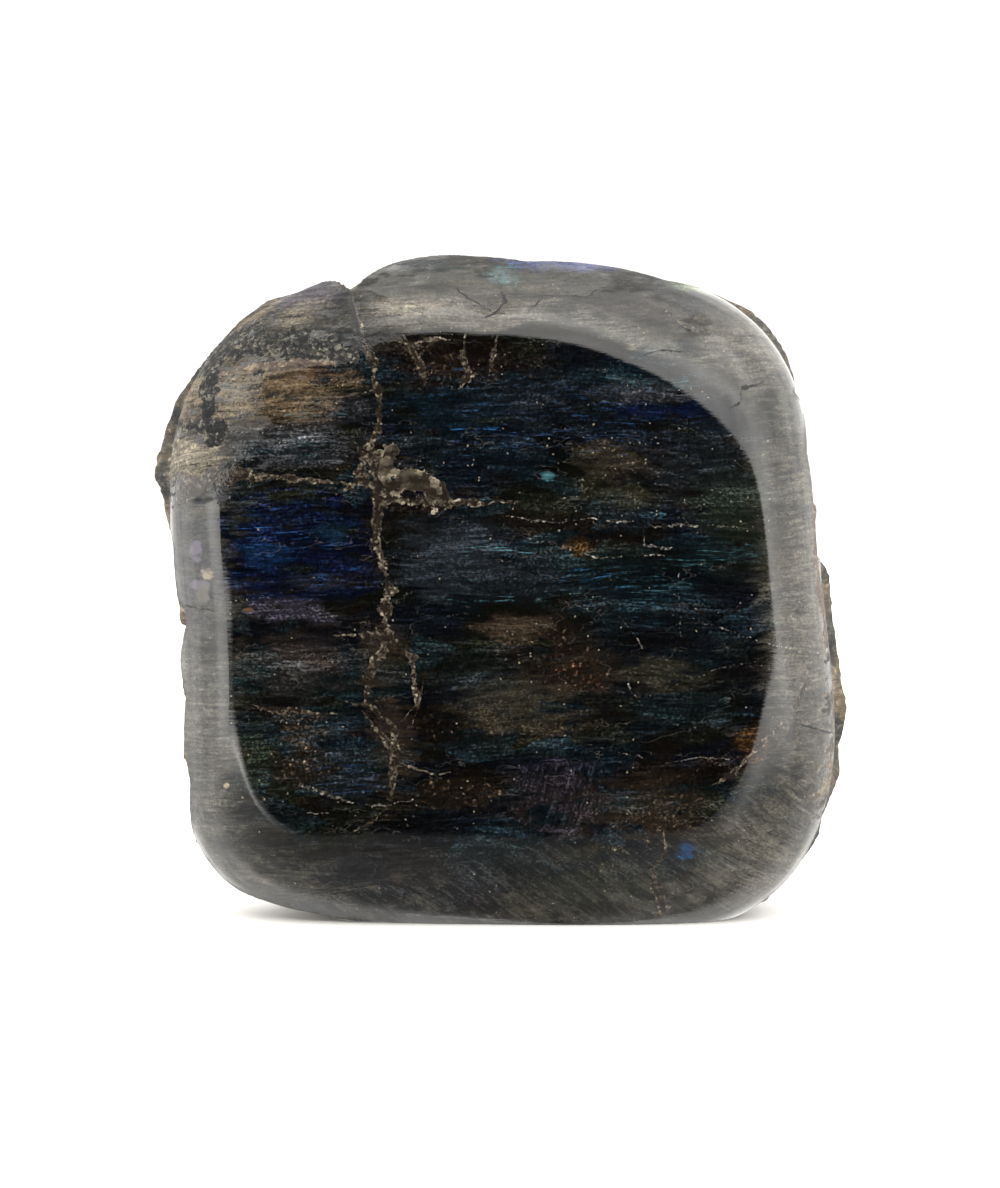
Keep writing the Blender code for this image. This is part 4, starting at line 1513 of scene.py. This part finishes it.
        # The thinnest layers shine grey, and flash where there is a flash.
        thin = graph.step(self.weighed(layers["Thin"], (grain, 0.22)), 0.65, 0.92)
        sheen = graph.math("MULTIPLY", thin, graph.step(broad, 0.4, 0.62, 0.04, 0.4))
        lit = graph.mix(sheen, lit, Tone.STEEL.linear())
        for patch in FLASHES:
            lit = graph.mix(graph.math("MULTIPLY", thin, self.patch(patch)), lit, patch.tone.linear())
        # The shoulders get a painted pale sheen, a stand-in for part of the light tent's reflection in their
        # polish, and the calm areas lie over it all.
        shoulder = graph.step(self.y, *finish.sheen_depths, 0.0, finish.shoulder_sheen)
        haze_and_sheen = self.weighed(-2.05, (broad, 3.0), (self.nibbled, 0.5), (self.uneven, 0.5), (fine, 1.6))
        lit = graph.mix(graph.math("MULTIPLY", haze_and_sheen, shoulder), lit, Tone.PAINTED_SHEEN.linear())
        soft = self.weighed(-0.95, (fine, 2.2), (grain, 1.0), (self.uneven, 0.35))
        for patch in CALM:
            lit = graph.mix(graph.math("MULTIPLY", soft, self.patch(patch)), lit, patch.tone.linear())
        mottle = self.weighed(0.1, (grain, 0.9), (self.crumbs, 0.4), (fine, 0.8))
        contrast = graph.step(self.y, *finish.sheen_depths, 1.0, finish.shoulder_contrast)
        return self.tinted(lit, graph.math("POWER", mottle, contrast))

    def filled(self, colour: Feed, roughness: Feed) -> tuple[Socket, Socket]:
        """Draws every seam with what fills it.

        Args:
            colour: The stone's colour so far.
            roughness: Its roughness so far.

        Returns:
            Both, with the seams in them.
        """
        graph, grain = self.graph, self.layers["Grain"]
        patchy = graph.step(self.uneven, -0.9, 0.9, 0.2, 1.3)
        for fill, look in FILLS.items():
            depths = [self.seam(seam) for seam in SEAMS if seam.fill is fill]
            depth = depths[0]
            for other in depths[1:]:
                depth = graph.math("MAXIMUM", depth, other)
            # Single grains stand out at the edge of the seam, and others are missing there.
            depth = self.weighed(graph.math("SUBTRACT", depth, 0.25), (grain, 0.5))
            mask = graph.step(depth, -0.02, min(0.14, look.rim + 0.04))
            if fill is Fill.PALE:
                mask = graph.math("MULTIPLY", mask, graph.step(grain, 0.42, 0.58, 0.15, 1.0))
            rim = graph.step(depth, look.rim * 2.0, look.rim, 0.5, 1.3)
            share = graph.math("MULTIPLY", self.shards if fill is Fill.SHARD else self.crumbs, rim)
            share = graph.math("MULTIPLY", share, graph.math("MULTIPLY", patchy, look.gain))
            tone = graph.mix(share, look.dark.linear(), look.bright.linear())
            colour = graph.mix(mask, colour, tone)
            roughness = graph.blend(mask, roughness, look.roughness)
        return colour, roughness

    def draw(self) -> None:
        """Draws every layer and feeds the shader."""
        graph, finish = self.graph, self.finish
        colour = self.white_flecks(self.hairlines(self.body()))
        ahead = self.attribute("ahead")
        dulled = graph.step(ahead, finish.dulled_ahead, 0.0, finish.polished, finish.dulled)
        hazy = graph.step(self.uneven, -0.2, 1.4, 0.0, finish.haze_and_sheen)
        hazy = graph.math("MULTIPLY", graph.step(self.y, *finish.rough_depths), hazy)
        roughness = graph.blend(self.union(WORN), graph.math("ADD", dulled, hazy), finish.broken)
        colour, roughness = self.filled(colour, roughness)
        for spot in CHIPS_AND_GLINTS:
            colour = graph.mix(self.patch(spot), colour, spot.tone.linear())
        edge = graph.math("SUBTRACT", self.layers["Broad"], 0.5)
        edge = self.weighed(ahead, (edge, 2.4), (self.nibbled, 0.3))
        rough = graph.step(edge, finish.rim_blur, -finish.rim_blur)
        low, high = finish.base_edge
        base = graph.step(self.z, high, low)
        rough = graph.math("MAXIMUM", rough, self.union(CRUSTED))
        rough = graph.math("MULTIPLY", rough, graph.math("SUBTRACT", 1.0, base))
        colour = graph.mix(rough, colour, self.crust())
        colour = graph.mix(graph.math("MULTIPLY", base, 0.7), colour, Tone.SLATE.linear())
        roughness = graph.blend(rough, roughness, finish.broken)
        roughness = graph.blend(base, roughness, finish.ground)
        graph.tree.links.new(self.tinted(colour, finish.exposure), self.shader.inputs["Base Color"])
        graph.tree.links.new(roughness, self.shader.inputs["Roughness"])
        self.shader.inputs["IOR"].default_value = finish.ior
        self.shader.distribution = "GGX"
        self.relief()

    def hairlines(self, colour: Feed) -> Socket:
        """Draws the fine cleavage cracks: pale ones first, and dark ones over them.

        Args:
            colour: The stone's colour so far.

        Returns:
            The colour with the cracks in it.
        """
        graph, finish = self.graph, self.finish
        for place, look in ((self.ragged, finish.pale_cracks), (self.place, finish.dark_cracks)):
            feeds = {"Vector": place, "Size": look.size, "Width": look.width, "Amount": look.amount}
            lines = graph.group(self.groups["cracks"], feeds)[0]
            colour = graph.mix(graph.math("MULTIPLY", lines, look.strength), colour, look.tone.linear())
        return colour

    def white_flecks(self, colour: Feed) -> Socket:
        """Scatters small bright flecks, most of them in the upper right of the face.

        Args:
            colour: The stone's colour so far.

        Returns:
            The colour with the flecks on it.
        """
        graph, finish = self.graph, self.finish
        zone = graph.math("MAXIMUM", self.patch(FLECKED), finish.fleck_least)
        crowd = graph.step(self.layers["Broad"], 0.4, 0.62, *finish.fleck_shares)
        feeds = {
            "Vector": self.ragged, "Spacing": finish.fleck_spacing, "Size": finish.fleck_size,
            "Share": graph.math("MULTIPLY", crowd, zone),
        }
        mask = graph.group(self.groups["flecks"], feeds)[0]
        mask = graph.math("MULTIPLY", mask, finish.fleck_strength)
        return graph.mix(mask, colour, FLECKED.tone.linear())

    def crust(self) -> Socket:
        """Paints the natural break: grey-brown crust with tan stains, paler tan on its ridges, and painted
        shade in its grooves.

        Returns:
            Its colour.
        """
        graph, finish = self.graph, self.finish
        behind = graph.step(self.y, *finish.back_depths)
        grey, slate = Tone.STONE_GREY.linear(), Tone.SLATE.linear()
        colour = graph.mix(self.clouded(finish.crust_cloud), grey, slate)
        fading = graph.step(behind, 0.0, 1.0, 0.6, 0.4)
        stain = graph.math("MULTIPLY", self.clouded(finish.crust_stain), fading)
        colour = graph.mix(stain, colour, Tone.TAN.linear())
        ridge = self.attribute("ridge")
        colour = graph.mix(graph.step(ridge, 0.1, 0.8, 0.0, 0.3), colour, Tone.TAN.linear())
        # Painted shade: the grooves of the break are darkened towards brown-black.
        colour = graph.mix(graph.step(ridge, -0.25, -0.9, 0.0, 0.6), colour, Tone.BROWN_BLACK.linear())
        grains = self.weighed(0.95, (self.crumbs, 1.6))
        layers = self.weighed(-0.2, (self.layers["Fine"], 2.4))
        shade = self.weighed(1.0, (behind, finish.back_shade))
        gain = graph.math("MULTIPLY", graph.math("MULTIPLY", grains, layers), shade)
        return self.tinted(colour, gain)

    def relief(self) -> None:
        """Raises the lamellae a little on the polish, and the crystals' grain where there is none."""
        graph, finish = self.graph, self.finish
        worn = self.union(WORN, self.plain_oval)
        rough = graph.step(self.attribute("ahead"), finish.rim_blur, -finish.rim_blur)
        rough = graph.math("MAXIMUM", rough, self.union(CRUSTED, self.plain_oval))
        rough = graph.math("MULTIPLY", rough, graph.step(self.z, *finish.base_edge))
        pitted = graph.noise(graph.scaled(self.place, finish.pit_size), finish.relief_detail, 0.65)
        layered = graph.noise(graph.scaled(self.place, finish.layer_size), finish.relief_detail, 0.6)
        deep = self.weighed(graph.math("MULTIPLY", rough, finish.break_relief), (worn, finish.worn_relief))
        low = graph.step(self.y, *finish.rough_depths, finish.polish_relief, finish.shoulder_relief)
        height = graph.math("MULTIPLY_ADD", pitted, deep, graph.math("MULTIPLY", layered, low))
        feeds = {"Strength": 1.0, "Distance": 1.0, "Height": graph.math("MULTIPLY", height, MM)}
        bump = graph.node("ShaderNodeBump", feeds)
        graph.tree.links.new(bump.outputs[0], self.shader.inputs["Normal"])


# --------------------------------------------------------------------------------------------------
# Floor, light and camera
# --------------------------------------------------------------------------------------------------


@dataclass(frozen=True)
class Arc:
    """A bright seam of the tent beside its opening.

    It lies above the opening or below it, reaches from one direction across to another, starts,
    peaks and ends at so many degrees from the opening's edge, and has a brightness.
    """

    above: bool
    first: float
    last: float
    start: float
    peak: float
    end: float
    brightness: float


@dataclass(frozen=True)
class LightTent:
    """A bright soft tent all around, open at the front, as directions in degrees and brightnesses."""

    # The upper and the lower edge of the opening, each as (direction across, direction up).
    top: Line = (
        (-49.0, -6.0), (-46.5, 8.0), (-43.0, 24.0), (-33.0, 33.0), (-12.5, 33.0), (-1.0, 30.5),
        (4.0, 29.5), (10.0, 23.5), (19.0, 16.5), (34.5, 8.5), (42.0, 5.0), (48.0, 0.0),
    )
    bottom: Line = (
        (-49.0, -6.0), (-42.5, -7.5), (-31.0, -19.0), (-21.0, -27.5), (-18.0, -29.0), (-5.0, -26.5),
        (4.0, -24.0), (16.5, -23.5), (23.0, -18.0), (34.5, -6.0), (43.0, -1.5), (48.0, 0.0),
    )
    half_opening: float = 49.0
    edge: float = 1.2
    # Brightness of the wall by the direction across, what is added to it by the direction up, and the
    # brightness below it.
    wall: Line = (
        (-180.0, 1.5), (-150.0, 1.5), (-115.0, 1.9), (-95.0, 2.3), (-75.0, 2.1), (-63.0, 2.6),
        (-54.0, 3.9), (-48.0, 3.3), (-40.0, 2.6), (0.0, 2.4), (40.0, 2.8), (48.0, 3.3), (54.0, 3.0),
        (63.0, 2.1), (75.0, 2.0), (95.0, 2.5), (115.0, 2.2), (150.0, 1.6), (180.0, 1.5),
    )
    roof: Line = (
        (-90.0, 0.0), (18.0, 0.6), (30.0, 0.75), (41.0, 0.6), (56.0, 0.45), (85.0, 0.15), (90.0, 0.15),
    )
    below: Line = (
        (-180.0, 1.6), (-100.0, 2.4), (-75.0, 2.7), (-60.0, 1.7), (-35.0, 0.85), (-18.0, 0.4),
        (0.0, 0.28), (18.0, 0.62), (35.0, 0.9), (60.0, 0.85), (75.0, 1.6), (100.0, 2.2), (180.0, 1.6),
    )
    # From which to which direction up the light below the wall turns into the wall's.
    sill: tuple[float, float] = (-20.0, -4.0)
    arcs: tuple[Arc, ...] = (
        Arc(False, -46.0, -30.0, 0.2, 1.6, 3.6, 4.0),
        Arc(False, 24.0, 42.0, 0.5, 6.0, 14.0, 1.0),
        Arc(True, -14.0, 42.0, 6.0, 12.0, 19.0, 1.6),
    )
    # Over how many degrees on both sides of its two ends an arc fades.
    first_fade: float = 4.0
    last_fade: float = 8.0
    # Size, detail, least share and gain of the clouds in the tent's light.
    cloud_size: float = 0.22
    cloud_detail: float = 3.0
    cloud_least: float = 0.45
    cloud_gain: float = 1.1
    # The light in the opening, the light that the camera sees, and the most that a wall may have.
    open_light: float = 0.02
    seen_light: float = 1.2
    brightest: float = 10.0
    tint: tuple[float, float, float, float] = (1.0, 0.98, 0.945, 1.0)

    def profile(
        self, graph: Graph, angle: Feed, points: Line, widest: float, top: float, low: float = 0.0
    ) -> Socket:
        """Reads a smooth line through points.

        Args:
            graph: The node tree to work in.
            angle: The direction at which to read it.
            points: What the line passes through, as (direction, value).
            widest: The line runs from minus this direction to this one.
            top: The highest value that it can have.
            low: The lowest value that it can have.

        Returns:
            The value there.
        """
        places = [((place + widest) / (2.0 * widest), (value - low) / (top - low)) for place, value in points]
        value = graph.curve(graph.share(angle, -widest, widest), places, "AUTO")
        return graph.math("MULTIPLY_ADD", value, top - low, low)

    def walls(self, graph: Graph, across: Feed, up: Feed) -> Socket:
        """Lights the tent's walls and roof, and what is below them.

        Args:
            graph: The node tree to work in.
            across: The direction across.
            up: The direction up.

        Returns:
            The brightness.
        """
        side = self.profile(graph, across, self.wall, 180.0, self.brightest)
        side = graph.math("ADD", side, self.profile(graph, up, self.roof, 90.0, self.brightest))
        low = self.profile(graph, across, self.below, 180.0, self.brightest)
        return graph.blend(graph.step(up, *self.sill), low, side)

    def with_arc(self, graph: Graph, glow: Feed, arc: Arc, gap: Feed, across: Feed) -> Socket:
        """Lights one bright seam.

        Args:
            graph: The node tree to work in.
            glow: The brightness so far.
            arc: The seam.
            gap: How far a direction is from the edge of the opening that the seam follows.
            across: The direction across.

        Returns:
            The brightness with the seam in it.
        """
        fading = graph.step(gap, arc.end, arc.peak, 0.0, arc.brightness)
        band = graph.math("MULTIPLY", graph.step(gap, arc.start, arc.peak), fading)
        first = graph.step(across, arc.first - self.first_fade, arc.first + self.first_fade)
        last = graph.step(across, arc.last + self.last_fade, arc.last - self.last_fade)
        return graph.math("MULTIPLY_ADD", band, graph.math("MULTIPLY", first, last), glow)

    def build(self, scene: bpy.types.Scene) -> None:
        """Makes the world that lights the stone.

        Args:
            scene: The scene to light.
        """
        world = bpy.data.worlds.new("light tent")
        scene.world = world
        world.use_nodes = True
        graph = Graph(world.node_tree)
        direction = graph.node("ShaderNodeTexCoord", {}).outputs["Generated"]
        x, y, z = graph.node("ShaderNodeSeparateXYZ", {0: direction}).outputs
        across = graph.math("DEGREES", graph.math("ARCTAN2", x, graph.math("MULTIPLY", y, -1.0)))
        up = graph.math("DEGREES", graph.math("ARCSINE", z))
        top, bottom = (
            self.profile(graph, across, line, self.half_opening, 90.0, -90.0)
            for line in (self.top, self.bottom)
        )
        over, under = graph.math("SUBTRACT", up, top), graph.math("SUBTRACT", bottom, up)
        covered = graph.step(graph.math("MAXIMUM", over, under), -self.edge, 0.0)
        glow = self.walls(graph, across, up)
        for arc in self.arcs:
            glow = self.with_arc(graph, glow, arc, over if arc.above else under, across)
        clouds = graph.noise(graph.scaled(direction, (self.cloud_size,) * 3), self.cloud_detail, 0.5)
        clouds = graph.math("MULTIPLY_ADD", clouds, self.cloud_gain, self.cloud_least)
        light = graph.math("MULTIPLY", graph.math("MULTIPLY", glow, clouds), covered)
        light = graph.math("MAXIMUM", light, self.open_light)
        seen = graph.node("ShaderNodeLightPath", {}).outputs["Is Camera Ray"]
        background = world.node_tree.nodes["Background"]
        background.inputs["Color"].default_value = self.tint
        strength = graph.blend(seen, light, self.seen_light)
        graph.tree.links.new(strength, background.inputs["Strength"])


@dataclass(frozen=True)
class Floor:
    """A plain pale table under the stone."""

    half_size: float = 2400.0
    pale: tuple[float, float, float, float] = (0.93, 0.92, 0.905, 1.0)
    roughness: float = 0.9

    def build(self) -> bpy.types.Object:
        """Makes the table top, which isn't part of the stone.

        Returns:
            The table top.
        """
        mesh = bpy.data.meshes.new("table_top")
        half = self.half_size * MM
        corners = [(-half, -half, 0), (half, -half, 0), (half, half, 0), (-half, half, 0)]
        mesh.from_pydata(corners, [], [(0, 1, 2, 3)])
        table = bpy.data.objects.new("table_top", mesh)
        bpy.context.scene.collection.objects.link(table)
        material = bpy.data.materials.new("pale table")
        material.use_nodes = True
        shader = material.node_tree.nodes["Principled BSDF"]
        shader.inputs["Base Color"].default_value = self.pale
        shader.inputs["Roughness"].default_value = self.roughness
        mesh.materials.append(material)
        table.visible_glossy = False
        return table


@dataclass(frozen=True)
class Camera:
    """A camera a little above the stone's middle, looking at its ground face."""

    lens: float = 85.0
    target: tuple[float, float, float] = (-0.3, -8.0, 58.8)
    distance: float = 510.5
    elevation: float = 3.0

    def build(self, scene: bpy.types.Scene) -> None:
        """Makes the camera and sets it as the scene's.

        Args:
            scene: The scene to look at.
        """
        camera = bpy.data.objects.new("camera", bpy.data.cameras.new("camera"))
        scene.collection.objects.link(camera)
        camera.data.lens = self.lens
        tilt = math.radians(self.elevation)
        back = Vector((0.0, -math.cos(tilt), math.sin(tilt)))
        camera.location = (Vector(self.target) + back * self.distance) * MM
        camera.rotation_euler = (-back).to_track_quat("-Z", "Y").to_euler()
        scene.camera = camera


def main() -> None:
    """Builds the stone, dresses it and sets up the floor, the light and the camera."""
    logging.basicConfig(level=logging.INFO, format="%(message)s")
    scene = bpy.context.scene
    Camera().build(scene)
    LightTent().build(scene)
    table = Floor().build()
    stone = StoneForm().build()
    LabradoriteFinish().dress(stone)
    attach(stone, "root")
    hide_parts("labradorite_chunk")
    LOG.info("%s: %d points, %d faces", stone.name, len(stone.data.vertices), len(stone.data.polygons))
    scene.view_settings.view_transform = "Standard"


if __name__ == "__main__":
    main()
